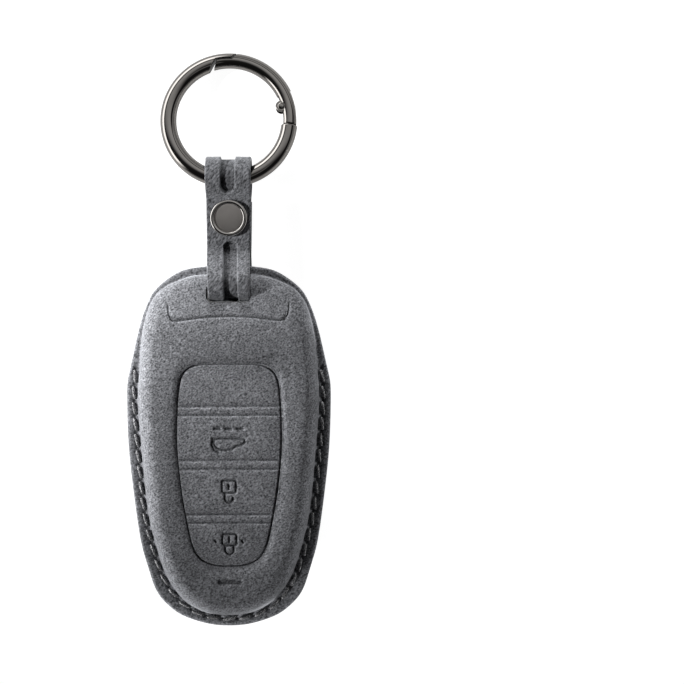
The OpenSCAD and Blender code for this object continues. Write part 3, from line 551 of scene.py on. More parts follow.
def panel_relief(xy):
    """The same for the panel: its grooves, each a gentle slope down and a steep rise towards the
    closed end, and its signs. The grooves and signs are coloured darker, painted shade partly for
    compacted nap, and the lip below each groove lighter, a painted highlight."""
    x, y = xy[..., 0], xy[..., 1]
    deep, dark = np.zeros((2,) + x.shape)
    for groove_y in GROOVES:
        over = y - groove_y
        ramp = np.where(over > 0, ease(1 - over / GROOVE_RAMP) ** 1.3, ease(1 + over / GROOVE_LIP))
        deep = np.maximum(deep, GROOVE_D * ramp)
        # Painted shade down each groove and a painted highlight on its lip.
        dark = dark + 0.6 * ramp - 0.95 * bell(over + GROOVE_LIP + 0.05, LIP_W)
    near = (np.abs(x - 0.3) < 5.8) & (y < 7) & (y > -31)
    cut = np.zeros(near.sum())
    for line, wide in signs:
        cut = np.maximum(cut, dent(to_line(xy[near], line), SIGN_W * wide))
    deep[near] = np.maximum(deep[near], SIGN_D * cut)
    # Painted shade in the signs, partly for compacted nap.
    dark[near] = np.maximum(dark[near], 1.1 * cut)
    return deep, dark


def seam_shares():
    """Shares along each ray from the brow to the panel. Rays that meet the end cap's seam have
    eleven rings close to it, the others have theirs evenly spread, and the two kinds blend at its
    ends. Seven more rings lie close to the panel, where the face turns down to it."""
    before_n, after_n = 5, 5
    length = np.linalg.norm(brow_ring - panel_ring, axis=1)
    last = 1 - np.array([1.95, 1.5, 1.1, 0.75, 0.45, 0.2, 0])[:, None] / length
    off = np.array([-0.95, -0.65, -0.42, -0.25, -0.1, 0, 0.1, 0.2, 0.32, 0.45, 0.7])[:, None]
    off = off / length
    total = before_n + len(off) + after_n
    even = np.arange(total)[:, None] / total * last[0]
    fine = np.linspace(0, 1, 401)[:, None, None]
    middle = np.abs(side_of_seam(brow_ring * (1 - fine) + panel_ring * fine)).argmin(0) / 400
    at_x = np.abs(brow_ring[:, 0] * (1 - middle) + panel_ring[:, 0] * middle)
    weight = ease((17.6 - at_x) / 1.8) * (brow_ring[:, 1] > 20)
    middle = np.clip(middle, 0.03 - off.min(), last[0] - off.max() - 0.03)
    before = np.arange(before_n)[:, None] / before_n * (middle + off[0])
    after_share = np.arange(1, after_n + 1)[:, None] / (after_n + 1)
    after = middle + off[-1] + after_share * (last[0] - middle - off[-1])
    near = np.concatenate([before, middle + off, after])
    return np.concatenate([near * weight + even * (1 - weight), last])


def length_along(line):
    """Length of a line from its start up to each of its points."""
    return np.concatenate([[0], np.cumsum(np.linalg.norm(np.diff(line, axis=0), axis=1))])


def points_at(line, run, at):
    """Points of a line at the given lengths along it."""
    return np.stack([np.interp(at, run, line[:, i]) for i in (0, 1)], -1)


STITCH_PITCH, STITCHES, SEAM_OUT = 4.3, 37, 1.15
closed_end = RAYS // 2
round_order = (closed_end + np.arange(-closed_end, closed_end + 1)) % RAYS
seam_line = inset(dome_ring, -SEAM_OUT)[0][round_order][::-1]
seam_run = length_along(seam_line)
seam_run -= seam_run[closed_end]
hole_run = (np.arange(STITCHES + 1) - STITCHES / 2) * STITCH_PITCH
holes = points_at(seam_line, seam_run, hole_run)


def holes_sunk(flange):
    """The flange's rings pulled down round each stitch hole, by a Gaussian of 0.42 mm, and a little
    all along the row of stitches. Gives how much darker the holes and the row are coloured,
    painted shade in the sunk holes and along the row."""
    xy = flange[..., :2]
    gap = np.linalg.norm(xy[:, :, None] - holes, axis=-1).min(-1)
    row = bell(to_line(xy, holes), 0.55)
    flange[..., 2] -= 0.3 * bell(gap, 0.42) + 0.12 * row
    return 0.8 * bell(gap, 0.5) + 0.2 * row


FLANGE_N, WALL_N, PRESSED_N = 10, 22, 12
flange = slice(0, EDGE_N + FLANGE_N)
front_rim = rim_rings(FRONT_HALF, 0.0, FLANGE_N, WALL_N, True)
rim_pressed = np.zeros(front_rim.shape[:2])
# Painted shade in the stitch holes and along their row, and painted light that makes the flange
# lighter towards the closed end.
rim_pressed[flange] = holes_sunk(front_rim[flange]) \
    - 0.6 * ease((-front_rim[flange, :, 1] - 28) / 14)
deep, rim_pressed[-PRESSED_N:] = frame_relief(front_rim[-PRESSED_N:, :, :2])
front_rim[-PRESSED_N:, :, 2] -= deep
front_face = face_rings(FRONT_HALF, 0.0, seam_shares()[1:])
deep, face_pressed = frame_relief(front_face[..., :2])
front_face[..., 2] -= deep
to_panel = np.linalg.norm(front_face[..., :2] - panel_ring, axis=-1)
right_side = ease((panel_ring[:, 0] - 4) / 8)
# Painted shade on the face where it slopes down to the panel: a wide band on the right side, a narrow
# one along the crease on the left.
face_pressed += right_side * (0.35 * bell(to_panel, 0.4) + 0.5 * bell(to_panel, 3.6))
face_pressed += 0.45 * (1 - right_side) * bell(to_panel, 0.9)

crease = np.linspace(0, 0.96, 10)[1:]
columns = np.concatenate([np.linspace(0, 0.3, 15)[:-1], np.linspace(0.3, 0.72, 60),
    np.linspace(0.72, 1, 14)[1:]])
cell_ends = np.array([PANEL_AT[1] + PANEL_L / 2, *GROOVES, PANEL_AT[1] - PANEL_L / 2])


def panel_height(xy):
    """Height of the panel: the face's height, its sag, and a pillow that falls with the fourth
    power of the share of the way to its outline. Each cell between two grooves swells by itself,
    in the same way along it as across it, and the narrow bands between a pair of grooves do so
    half as much."""
    x, y = xy[..., 0], xy[..., 1]
    off = (xy - PANEL_AT) / (PANEL_W / 2, PANEL_L / 2)
    angle = np.arctan2(off[..., 0], off[..., 1])
    share = np.hypot(off[..., 0], off[..., 1]) / radius_of(panel_half, angle)
    cell = np.clip((y[..., None] < cell_ends).sum(-1) - 1, 0, len(cell_ends) - 2)
    high, low = cell_ends[cell], cell_ends[cell + 1]
    along = np.clip(np.abs(2 * y - high - low) / (high - low), 0, 1)
    swell = CELL_PILLOW * np.where(high - low < 4, 0.5, 1) \
        * (1 - along ** 3) * (1 - np.clip(share, 0, 1) ** 6)
    return top_height(x, y, FRONT_HALF) - FRONT_HALF["sag"] + PILLOW * (1 - share ** 4) + swell


crease_xy = inset(panel_ring, crease)
dip = dent(np.abs(crease - CREASE_W / 2), CREASE_W)[:, None]
groove, groove_pressed = panel_relief(crease_xy)
crease_z = panel_height(crease_xy) \
    - np.maximum(CREASE_D * dip, groove * ease(crease[:, None] / 0.4))
row_xy = rows_across(crease_xy[-1], columns)
groove, row_pressed = panel_relief(row_xy)
row_points = np.dstack([row_xy, panel_height(row_xy) - groove])
# Painted shade in the crease round the panel, and a painted highlight on the panel's edge inside it
# on the right side and at the top.
painted_edge_highlight = 0.8 * np.maximum(right_side, ease((panel_ring[:, 1] - 15) / 6)) \
    * bell(crease[:, None] - 0.86, 0.14)
crease_pressed = np.maximum(dip * np.ones((1, RAYS)), groove_pressed) - painted_edge_highlight
front_rings = np.concatenate([front_rim, front_face, np.dstack([crease_xy, crease_z])])
front_outer = skin_points(front_rings, row_points)
front_inner, inner_count = plain_skin(FRONT_HALF, SUEDE_T)
pressed = np.concatenate([rim_pressed.ravel(), face_pressed.ravel(), crease_pressed.ravel(),
    row_pressed.ravel(), np.zeros(len(front_inner))])
points, quads, tris = join_skins(front_outer, len(front_rings), columns,
    front_inner, inner_count, few_columns, True)
front_cover = lay_mesh("front_cover_suede", points, quads, tris, sharp=50, pressed=pressed)
front_cover.data.materials.append(suede_skin)
front_slot = slot_tool(low=38.75, top=43.5, wide=12.0, z0=9, z1=18, material=cut_edge,
    middle_x=0.25)
cut_with(front_cover, front_slot, sharp=50)
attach(front_cover, "cover")
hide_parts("front_cover")


# The thread: dark waxed polyester of two plies, sewn by hand from hole to hole through both
# flanges round the closed end, so that a slanting stitch lies in each gap on the front and back.
THREAD_D, STITCH_L, STITCH_SLANT, PLY_TWIST = 0.78, 3.5, 0.3, 1.7
THREAD_LOW, THREAD_ARCH = -0.42, 0.72


def stitch_row(half, up):
    """Tubes along the row: each runs from 1.45 mm to 0.85 mm outside the dome's foot, arched by
    one less the power 3.5 of the way from its middle, with a round section that swells twice a
    turn as the plies twist along it."""
    along, around = 19, 12
    t = np.linspace(0, 1, along)
    run = (hole_run[:-1] + STITCH_PITCH / 2)[:, None] + (t - 0.5) * STITCH_L
    xy = points_at(seam_line, seam_run, run)
    fore = unit(points_at(seam_line, seam_run, run + 0.2) - xy)
    side = np.stack([fore[..., 1], -fore[..., 0]], -1)
    to_foot = np.where((side * -xy).sum(-1, keepdims=True) > 0, 1, -1) * side
    xy = xy + to_foot * (-STITCH_SLANT + 2 * STITCH_SLANT * t)[:, None]
    arch = THREAD_LOW + THREAD_ARCH * (1 - np.abs(2 * t - 1) ** 3.5)
    centre = np.dstack([xy, foot_height(xy[..., 1], half) + arch])
    tangent = unit(np.gradient(centre, axis=1))
    across = unit(np.cross(tangent, (0, 0, 1.0)))
    over = np.cross(across, tangent)
    a = np.linspace(0, 2 * np.pi, around, endpoint=False)
    plies = 0.84 + 0.2 * np.abs(np.cos(a - t[:, None] * STITCH_L / PLY_TWIST * 2 * np.pi))
    taper = np.sqrt(np.clip(1.04 - (2 * t - 1) ** 8, 0.02, 1))
    r = THREAD_D / 2 * plies * taper[:, None]
    tubes = centre[:, :, None] + r[..., None] * (np.cos(a)[:, None] * across[:, :, None]
        + np.sin(a)[:, None] * over[:, :, None])
    points = np.concatenate([tubes.reshape(STITCHES, -1, 3), centre[:, [0, -1]]], 1)
    first = np.arange(STITCHES)[:, None, None] * points.shape[1]
    quads, tris = tube_faces(along, around)
    return on_seam(points.reshape(-1, 3), (quads + first).reshape(-1, 4),
        (tris + first).reshape(-1, 3), up)


def two_tones(tree, factor, dark, light):
    """A colour between a dark and a light one, by a factor."""
    return put(tree, "Mix", {"A": (*dark, 1), "B": (*light, 1), "Factor": factor}, "Result",
        data_type="RGBA")


def waxed_thread(name):
    """Dark waxed fibre: a noise of about 0.2 mm makes its bump and lightens its colour in specks,
    painted glints, and it has a soft gloss."""
    material, tree, shader, place = blank_material(name)
    noise = put(tree, "TexNoise", {"Vector": place, "Scale": 5200, "Detail": 2.0})
    painted_glint = put(tree, "MapRange", {"Value": noise, "From Min": 0.46, "From Max": 0.68})
    feed(tree, shader, {
        # Light specks in the base colour are painted glints.
        "Base Color": two_tones(tree, painted_glint, (0.02, 0.02, 0.022), (0.62, 0.62, 0.63)),
        "Normal": put(tree, "Bump", {"Height": noise, "Strength": 0.35, "Distance": 0.00006}),
        "Roughness": 0.3, "Specular IOR Level": 0.6, "Coat Weight": 0.3, "Coat Roughness": 0.2})
    return material


front_stitches, back_stitches = stitch_row(FRONT_HALF, True), stitch_row(BACK_HALF, False)
shift = len(front_stitches[0])
thread = lay_mesh("seam_thread", np.concatenate([front_stitches[0], back_stitches[0]]),
    np.concatenate([front_stitches[1], back_stitches[1] + shift]),
    np.concatenate([front_stitches[2], back_stitches[2] + shift]), sharp=70)
thread.data.materials.append(waxed_thread("waxed_thread"))
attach(thread, "cover")


# The strap: a strip of suede on a backing of thin leather, edges painted, with a channel pressed
# into its face on both sides of the snap. It goes down through the front slot, round the bar
# between the slots and the mouth, and round the ring.
STRAP_T, LEAF_GAP, EYE_R, WIRE_R, CHANNEL_D = 1.8, 0.1, 3.95, 2.1, 0.78
HINGE_Y, TAIL_Z0, TURN_R = 43.1, 1.05, 1.5
SLOT_Y, BAR_Y, BAR_RUN, OVER_Z = 40.15, 42.2, 1.8, 15.7
SLOT_BEND_R, OVER_R, LAND_R, EYE_BEND_R = 2.6, 3, 4, 2
SLOPE, EYE_SLOPE, EYE_PLAY = 42.0, 51.0, 0.24
SNAP_X, SNAP_Y, RING_Y, LEAF_Z = STRAP_X + 0.07, 61.7, 72.3, 6.6
FRONT_Z, REAR_Z, REAR_END = 7.55, 5.65, 56.9
STRAP_STEP, TAIL_STEP = 0.28, 0.4
SUEDE_OUT, SUEDE_IN, SUEDE_EDGE = 0.9, -0.075, 0.38


def bend_line(y, z, r, start, end):
    """Points round a bend in the strap's side view, about as far apart as the strap's step."""
    n = max(int(abs(np.radians(end - start)) * r / STRAP_STEP), 6)
    return arc_line(y, z, r, start, end, n + 1)


def evened(line, step):
    """The same line with its points evenly spaced, and the length up to each."""
    line = line[np.concatenate([[True], np.linalg.norm(np.diff(line, axis=0), axis=1) > 1e-4])]
    run = length_along(line)
    at = np.linspace(0, run[-1], int(run[-1] / step) + 1)
    return points_at(line, run, at), at


slope_a, eye_a = np.radians(SLOPE), np.radians(EYE_SLOPE)
eye_y = RING_Y + EYE_PLAY * (EYE_R - WIRE_R - GLUE_T)
eye_r = EYE_R + STRAP_T / 2
eye_leave = EYE_BEND_R * (1 - np.cos(eye_a)) + (LEAF_GAP + STRAP_T) / 2
eye_foot = eye_y - (eye_r - np.cos(eye_a) * eye_leave) / np.sin(eye_a) - EYE_BEND_R * np.sin(eye_a)
over_mid = np.array([BAR_Y + BAR_RUN, OVER_Z - OVER_R])
over_end = over_mid + OVER_R * np.array([np.sin(slope_a), np.cos(slope_a)])
land_z = FRONT_Z + LAND_R * (1 - np.cos(slope_a))
land_y = over_end[0] + (over_end[1] - land_z) / np.tan(slope_a) + LAND_R * np.sin(slope_a)
strap_line, strap_run = evened(np.concatenate([
    [(HINGE_Y, TAIL_Z0)],
    bend_line(SLOT_Y + TURN_R, TAIL_Z0 + TURN_R, TURN_R, 270, 180),
    bend_line(SLOT_Y + SLOT_BEND_R, OVER_Z - SLOT_BEND_R, SLOT_BEND_R, 180, 90),
    bend_line(*over_mid, OVER_R, 90, 90 - SLOPE),
    bend_line(land_y, FRONT_Z + LAND_R, LAND_R, 270 - SLOPE, 270),
    bend_line(eye_foot, FRONT_Z + EYE_BEND_R, EYE_BEND_R, 270, 270 + EYE_SLOPE),
    bend_line(eye_y, LEAF_Z, eye_r, 90 + EYE_SLOPE, -90 - EYE_SLOPE),
    bend_line(eye_foot, REAR_Z - EYE_BEND_R, EYE_BEND_R, 90 - EYE_SLOPE, 90),
    [(REAR_END, REAR_Z)]]), STRAP_STEP)


def strap_width(y):
    """Width of the strap: it tapers from the ring down to the slot."""
    return np.interp(y, [40.5, 44.5, 55.5, 74.0], [11.0, 11.3, 11.8, 12.3])


def strap_lean(y):
    """Shift of the strap's middle line: it leans to the right as it goes into the slot."""
    return np.interp(y, [40.5, 44.5, 52.0], [0.5, 0.35, 0.0])


def channel_depth(u, run):
    """Depth of the two channels: a smooth step down over 0.32 mm inside a line with round ends.
    The upper one goes from above the snap over the ring and down the rear, the lower one from
    under the slot up to below the snap."""
    def sunk(u0, start, end, half):
        out = np.clip(start + half - run, 0, None) + np.clip(run - (end - half), 0, None)
        return CHANNEL_D * ease((half - np.hypot(u - u0, out) + 0.06) / 0.32)
    flat = strap_run[np.argmin(np.abs(strap_line[:, 0] - 60) + 99 * (strap_line[:, 1] < 7))]
    upper_start, top = flat + 9.95, strap_run[strap_line[:, 0].argmax()]
    return np.maximum(sunk(-0.05, upper_start, 2 * top - flat - 9.95, 2.05),
        sunk(0.55, 6.0, flat - 4.7, 1.95))


def strip(line, run, out, into, edge_r, top_n, channel=None, end_round=0.25):
    """A strip carried along a side line. Its section is a flat top and bottom with corners rounded
    by the edge radius, sunk by the channel's depth, and it thins to a rounded end over the last
    part. Gives its points, its faces, and the share of the channel's depth at each point."""
    corner_n, under_n = 6, 9
    tangent = unit(np.gradient(line, axis=0))
    normal = np.stack([-tangent[:, 1], tangent[:, 0]], -1)
    turn = np.radians(np.linspace(90, 0, corner_n))
    corner = np.stack([edge_r * np.cos(turn), -edge_r * (1 - np.sin(turn))], -1)
    under = np.linspace(1, -1, under_n)
    share = np.concatenate([np.linspace(-1, 1, top_n), np.ones(corner_n), under,
        -np.ones(corner_n)])
    more = np.concatenate([np.zeros(top_n), corner[:, 0], np.zeros(under_n), -corner[::-1, 0]])
    v = np.concatenate([np.full(top_n, out), out + corner[:, 1], np.full(under_n, into),
        out + corner[::-1, 1]])
    half = strap_width(line[:, 0])[:, None] / 2
    u = share * (half - edge_r) + more
    under_at = top_n + corner_n
    u[:, under_at:under_at + under_n] = under * half
    v = v[None] * np.ones((len(line), 1))
    sunk = np.zeros_like(v)
    if channel is not None:
        sunk[:, :top_n] = channel(u[:, :top_n], run[:, None])
        v = v - sunk
    middle = (out + into) / 2
    near_end = np.minimum(run - run[0], run[-1] - run)[:, None]
    thin = np.sqrt(np.clip(1 - (1 - np.clip(near_end / end_round, 0, 1)) ** 2, 0.05, 1))
    v = middle + (v - middle) * thin
    y, z = line[:, None, 0], line[:, None, 1]
    rows = np.dstack([STRAP_X + strap_lean(y) + u, y + v * normal[:, None, 0],
        z + v * normal[:, None, 1]])
    return close_tube(rows), *tube_faces(*u.shape), np.append(sunk / CHANNEL_D, [0, 0])


def close_tube(rows):
    """The points of a tube's rows, and after them the middle of its first and of its last row."""
    return np.concatenate([rows.reshape(-1, 3), [rows[0].mean(0), rows[-1].mean(0)]])


strap_suede = suede("strap_suede", tuple(0.75 * c for c in SUEDE_GREY), grain=1.05,
    comb=(1.0, 2.4))
points, quads, tris, sunk_share = strip(strap_line, strap_run, SUEDE_OUT, SUEDE_IN, SUEDE_EDGE,
    top_n=91, channel=channel_depth)
strap_u = points[:, 0] - STRAP_X - strap_lean(points[:, 1])
# The channels are coloured darker, most along their left wall: painted shadow of that wall, over a
# little compacted nap. Their sloping walls get painted shade, the strap is darker along its left
# edge, and it darkens as painted shadow where it goes down into the slot.
left_wall = np.where(points[:, 1] > SNAP_Y, -2.0, -1.3)
pressed = sunk_share * (0.3 + 0.6 * ease((left_wall + 1.3 - strap_u) / 0.8))
pressed += 0.75 * 4 * sunk_share * (1 - sunk_share)
pressed += 0.5 * bell(strap_u + strap_width(points[:, 1]) / 2, 0.4)
pressed += 0.9 * ease((41.4 - points[:, 1]) / 1.7)
strap = lay_mesh("strap_suede_face", points, quads, tris, sharp=60, pressed=pressed)
strap.data.materials.append(strap_suede)
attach(strap, "strap")
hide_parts("strap")


# The strap's backing: a thin dark leather, cemented to the suede over its whole length. Its grain
# side is inwards, where it runs on the bar and on the ring.
BACKING_OUT, BACKING_IN, BACKING_EDGE = -0.125, -0.9, 0.1


def thin_leather(name):
    """Dark leather: creases from a cell pattern of about 0.7 mm for bump and a slight change of
    shade."""
    material, tree, shader, place = blank_material(name)
    cells = put(tree, "TexVoronoi", {"Vector": place, "Scale": 1400}, "Distance",
        feature="DISTANCE_TO_EDGE")
    shade = put(tree, "MapRange", {"Value": cells, "From Max": 0.25})
    feed(tree, shader, {
        "Base Color": two_tones(tree, shade, (0.03, 0.03, 0.033), (0.062, 0.063, 0.068)),
        "Normal": put(tree, "Bump", {"Height": shade, "Strength": 0.4, "Distance": 0.00005}),
        "Roughness": 0.6})
    return material


backing_leather = thin_leather("backing_leather")
backing = lay_mesh("strap_backing",
    *strip(strap_line, strap_run, BACKING_OUT, BACKING_IN, BACKING_EDGE, top_n=11)[:3], sharp=60)
backing.data.materials.append(backing_leather)
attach(backing, "strap")
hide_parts("strap_lining")


# The tail: the same strip goes on under the bar and up the back of the cover to the snap's stud.
# It hangs on its own bend when the snap is undone. Its side line runs from its end back to the
# bend, so that its suede faces down.
TAIL_END, TAIL_RISE, RISE_START, RISE_SHARE = 66.5, 0.9, 0.1, 0.7
TAIL_TO_POST = 13.8
tail_y = np.linspace(HINGE_Y, TAIL_END, 90)
to_post = (tail_y - HINGE_Y) / TAIL_TO_POST
tail_z = TAIL_Z0 + TAIL_RISE * ease((to_post - RISE_START) / RISE_SHARE)
tail_line, tail_run = evened(np.stack([tail_y, tail_z], -1), TAIL_STEP)
side_line = tail_line[::-1]
points, quads, tris, pressed = strip(side_line, tail_run, SUEDE_OUT, SUEDE_IN, SUEDE_EDGE,
    top_n=41)
tail = lay_mesh("tail_suede_face", points, quads, tris, sharp=60, pressed=pressed)
tail.data.materials.append(strap_suede)
tail_backing = lay_mesh("tail_backing",
    *strip(side_line, tail_run, BACKING_OUT, BACKING_IN, BACKING_EDGE, top_n=11)[:3], sharp=60)
tail_backing.data.materials.append(backing_leather)
for piece, node, finish in ((tail, "strap_tail", "suede"),
        (tail_backing, "tail_lining", "strap_back")):
    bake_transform(piece)
    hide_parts(node)


# The snap: four pressed pieces of plated brass. The cap's shank is riveted through both leaves
# into the socket, and the stud is held to the tail by the post. The spring ring inside the socket
# is wire.
CAP_Z, SOCKET_Z, STUD_Z, POST_Z = 8.5, 4.7, 2.9, 1.0
DISC_R, DISC_Z, DISC_DISH, DISC_FROM = 3.8, 0.76, 0.2, 0.35
RIM_R, RIM_HALF, RIM_Z, RIM_H = 4.42, 0.58, 0.5, 0.45


def turned(name, x, y, z, profile, around=128, sharp=35):
    """A piece turned about an upright axis, from a profile of radius and height that starts and
    ends on the axis or closes on itself."""
    profile = np.asarray(profile, float)
    a = np.linspace(0, 2 * np.pi, around, endpoint=False)
    on_axis = profile[0, 0] == 0 and profile[-1, 0] == 0
    body = profile[1:-1] if on_axis else profile
    m = len(body)
    points = np.stack([x + body[:, :1] * np.cos(a), y + body[:, :1] * np.sin(a),
        z + body[:, 1:] * np.ones(around)], -1).reshape(-1, 3)
    quads, tris = tube_faces(m, around)
    if on_axis:
        points = np.concatenate([points, [[x, y, z + profile[0, 1]], [x, y, z + profile[-1, 1]]]])
        return lay_mesh(name, points, quads, tris, sharp=sharp)
    j = np.arange(around)
    n, last = (j + 1) % around, (m - 1) * around
    back = np.stack([last + j, last + n, n, j], -1)
    return lay_mesh(name, points, np.concatenate([quads, back]), sharp=sharp)


def plated(name, colour, rough, brushed=0.0, metal=1.0):
    """Gunmetal plating: a mirror-like metal with a faint mottle of about 2 mm in its roughness and
    shade, and a very fine orange peel."""
    material, tree, shader, place = blank_material(name)
    mottle = put(tree, "TexNoise", {"Vector": place, "Scale": 500, "Detail": 4.0})
    peel = put(tree, "TexNoise", {"Vector": place, "Scale": 6000 if brushed else 1500})
    feed(tree, shader, {
        "Base Color": two_tones(tree, mottle, [c * 0.92 for c in colour],
            [min(c * 1.08, 1) for c in colour]),
        "Roughness": put(tree, "MapRange",
            {"Value": mottle, "To Min": rough * 0.75, "To Max": rough * 1.3}),
        "Normal": put(tree, "Bump",
            {"Height": peel, "Strength": 0.04 + brushed, "Distance": 0.00002}),
        "Metallic": metal})
    return material


snap_plate = plated("snap_plate", (0.5, 0.48, 0.46), 0.1)
disc_plate = plated("snap_disc_satin", (0.34, 0.32, 0.305), 0.38, brushed=0.12, metal=0.75)
rim_turn = np.radians(np.linspace(-80, 175, 22))
rim = np.stack([RIM_R + RIM_HALF * np.cos(rim_turn), RIM_Z + RIM_H * np.sin(rim_turn)], -1)
disc_r = np.linspace(DISC_R, 0, 9)
cap_profile = np.concatenate([
    [(0, -3.7), (1.1, -3.7), (1.2, -3.6), (1.2, 0), (4.3, 0)], rim[1:],
    np.stack([disc_r, DISC_Z - DISC_DISH * (disc_r / DISC_R) ** 2], -1)])
cap = turned("snap_cap_plate", SNAP_X, SNAP_Y, CAP_Z, cap_profile, around=160, sharp=60)
cup = turned("snap_socket_plate", SNAP_X, SNAP_Y, SOCKET_Z, [(1.2, 0), (4.2, 0), (4.3, -0.1),
    (4.3, -0.25), (4.2, -0.35), (2.95, -0.35), (2.62, -0.5), (2.55, -0.7), (2.55, -1.3),
    (2.45, -1.45), (1.95, -1.45), (1.85, -1.4), (1.85, -1.22), (2.1, -1.2), (2.1, -0.35),
    (1.2, -0.35)])
stud = turned("snap_stud_plate", SNAP_X, SNAP_Y, STUD_Z, [(0.84, 0), (3.9, 0), (3.95, 0.08),
    (3.9, 0.2), (3.7, 0.26), (1.7, 0.3), (1.45, 0.4), (1.4, 0.6), (1.42, 0.8), (1.5, 0.95),
    (1.48, 1.12), (1.35, 1.25), (1.2, 1.3), (0.9, 1.3), (0.84, 1.25)])
post = turned("snap_post_plate", SNAP_X, SNAP_Y, POST_Z, [(0, -0.925), (1.2, -0.92),
    (2.3, -0.88), (3.1, -0.74), (3.6, -0.42), (3.8, -0.08), (3.75, 0), (0.84, 0), (0.84, 1.95),
    (0, 2.0)])
for piece, body, node in ((cap, "strap", "snap_cap"), (cup, "strap", "snap_socket"),
        (stud, "tail", "snap_stud"), (post, "tail", "snap_post")):
    piece.data.materials.append(snap_plate)
    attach(piece, body)
    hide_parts(node)

cap.data.materials.append(disc_plate)
middles = np.empty(len(cap.data.polygons) * 3)
cap.data.polygons.foreach_get("center", middles)
middles = middles.reshape(-1, 3)
from_axis = np.hypot(middles[:, 0] - SNAP_X * MM, middles[:, 1] - SNAP_Y * MM)
is_disc = (from_axis < DISC_R * MM) & (middles[:, 2] > (CAP_Z + DISC_FROM) * MM)
cap.data.polygons.foreach_set("material_index", is_disc.astype(int))


def refinish(node, material):
    """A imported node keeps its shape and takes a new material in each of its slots."""
    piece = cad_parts[node]
    if not piece.material_slots:
        piece.data.materials.append(material)
    for held in piece.material_slots:
        held.link = "OBJECT"
        held.material = material


spring_steel = plated("spring_steel", (0.62, 0.61, 0.6), 0.25, brushed=0.05)
refinish("snap_spring", spring_steel)


# The ring: round zinc wire, cast, polished and plated in dark gunmetal. It ends in an outer tongue
# over the gate's tip at the lap, and in a flat tongue that carries the gate's pin at the other
# side.
RING_R, BODY_R = 16.5, 2.22
BODY_MID, BODY_LAST, BODY_TIP = 113, 353.6, 354.5
TILT = np.arcsin((LEAF_Z - WIRE_R) / (2 * RING_R))
HEEL, LAP_OUT, LAP_STEP, LAP_END, LAP_IN = -5.4, 81.4, 86.8, 101.0, 107.4
LAP_SHIFT, LAP_SLACK, LAP_GAP, LAP_ROOM, REACH = 0.21, 0.45, 1.6, 3.8, 2.52
CUT_EASE, CUT_SHARE, FLAT_N = 0.2, 0.97, 9
PIN_R, PIN_TURN = 14.7, np.radians(14.0)
PIN_AT = PIN_R * np.array([np.cos(PIN_TURN), np.sin(PIN_TURN)])
FORK_HALF, LUG_HALF, LUG_R, DRILL_R = 1.135, 1.585, 1.5, 0.65
TONGUE_T, TONGUE_HALF, TONGUE_END, EYE_OF_PIN_R = 0.85, 1.68, 14, LUG_R - 0.25
TONGUE_LOW = -FORK_HALF + 0.1
END_STEPS, END_ROUND = 1.1 * np.array([0, 0.08, 0.28, 0.55, 0.85]), 0.28


def to_ring(points):
    """From the ring's own plane, with its middle at nought, to its place in the strap's eye."""
    x, y, w = np.asarray(points).T
    return np.stack([x, RING_Y + np.cos(TILT) * (y + RING_R) + np.sin(TILT) * w,
        LEAF_Z - np.sin(TILT) * (y + RING_R) + np.cos(TILT) * w], -1)


def wire(angle, cut, keep, wire_r):
    """Round wire along an arc. At each angle the section is a circle cut off by an upright line at
    the given distance from its middle, on the outside (keep = 1) or the inside (keep = -1), with
    the corners of the cut eased by a narrow face."""
    arc_n = 55
    c = np.clip(cut * keep, -wire_r * 0.995, wire_r * np.cos(np.radians(24)))[:, None]
    opens = np.arccos(c / wire_r)
    is_cut = (cut * keep < wire_r)[:, None]
    w_end = wire_r * np.sin(opens)
    w_half = np.maximum(w_end - np.where(is_cut, CUT_EASE, 0.0), w_end * 0.5)
    w_flat = np.linspace(-1, 1, FLAT_N) * w_half
    x_round = np.sqrt(np.clip(wire_r ** 2 - w_flat ** 2, 0, None))
    x_flat = np.minimum(x_round, np.where(is_cut, cut[:, None] * keep, 9))
    rest = 2 * np.pi - 2 * opens
    gap = np.where(is_cut, CUT_EASE / wire_r, 0.0) + rest * 0.5 / arc_n * ~is_cut
    b = opens + gap + (rest - 2 * gap) * np.linspace(0, 1, arc_n)
    r = RING_R + np.concatenate([x_flat, wire_r * np.cos(b)], 1) * keep
    w = np.concatenate([w_flat, wire_r * np.sin(b)], 1)
    a = np.radians(angle)[:, None]
    return np.dstack([r * np.cos(a), r * np.sin(a), w])


def round_end(sections, rows, wire_r):
    """The sections of the given rows, from the end inwards, drawn in towards their middle along a
    quarter circle, so that the end's edge is rounded."""
    for step, row in enumerate(rows):
        t = 1 - step / len(rows)
        middle = sections[row].mean(0)
        share = 1 - END_ROUND * (1 - np.sqrt(1 - t * t)) / wire_r
        sections[row] = middle + (sections[row] - middle) * share
    return sections


def close_wire(name, sections, outward):
    """The wire as a closed piece in its place."""
    quads, tris = tube_faces(*sections.shape[:2])
    if outward < 0:
        quads, tris = quads[:, ::-1], tris[:, ::-1]
    return lay_mesh(name, to_ring(close_tube(sections)), quads, tris, sharp=38)


def sector(r0, r1, start, end, low, high, n=40):
    """Block over part of a flat ring between two radii and two angles."""
    line = np.concatenate([arc_line(0, 0, r1, start, end, n), arc_line(0, 0, r0, end, start, n)])
    m = len(line)
    rims = [np.column_stack([line, np.full(m, level)]) for level in (low, high)]
    k = np.arange(n - 1)
    lids = [np.stack([k + 1, k, m - 1 - k, m - 2 - k], -1),
        np.stack([m + k, m + k + 1, 2 * m - 2 - k, 2 * m - 1 - k], -1)]
    return to_ring(np.concatenate(rims)), np.concatenate([tube_faces(2, m)[0], *lids]), []


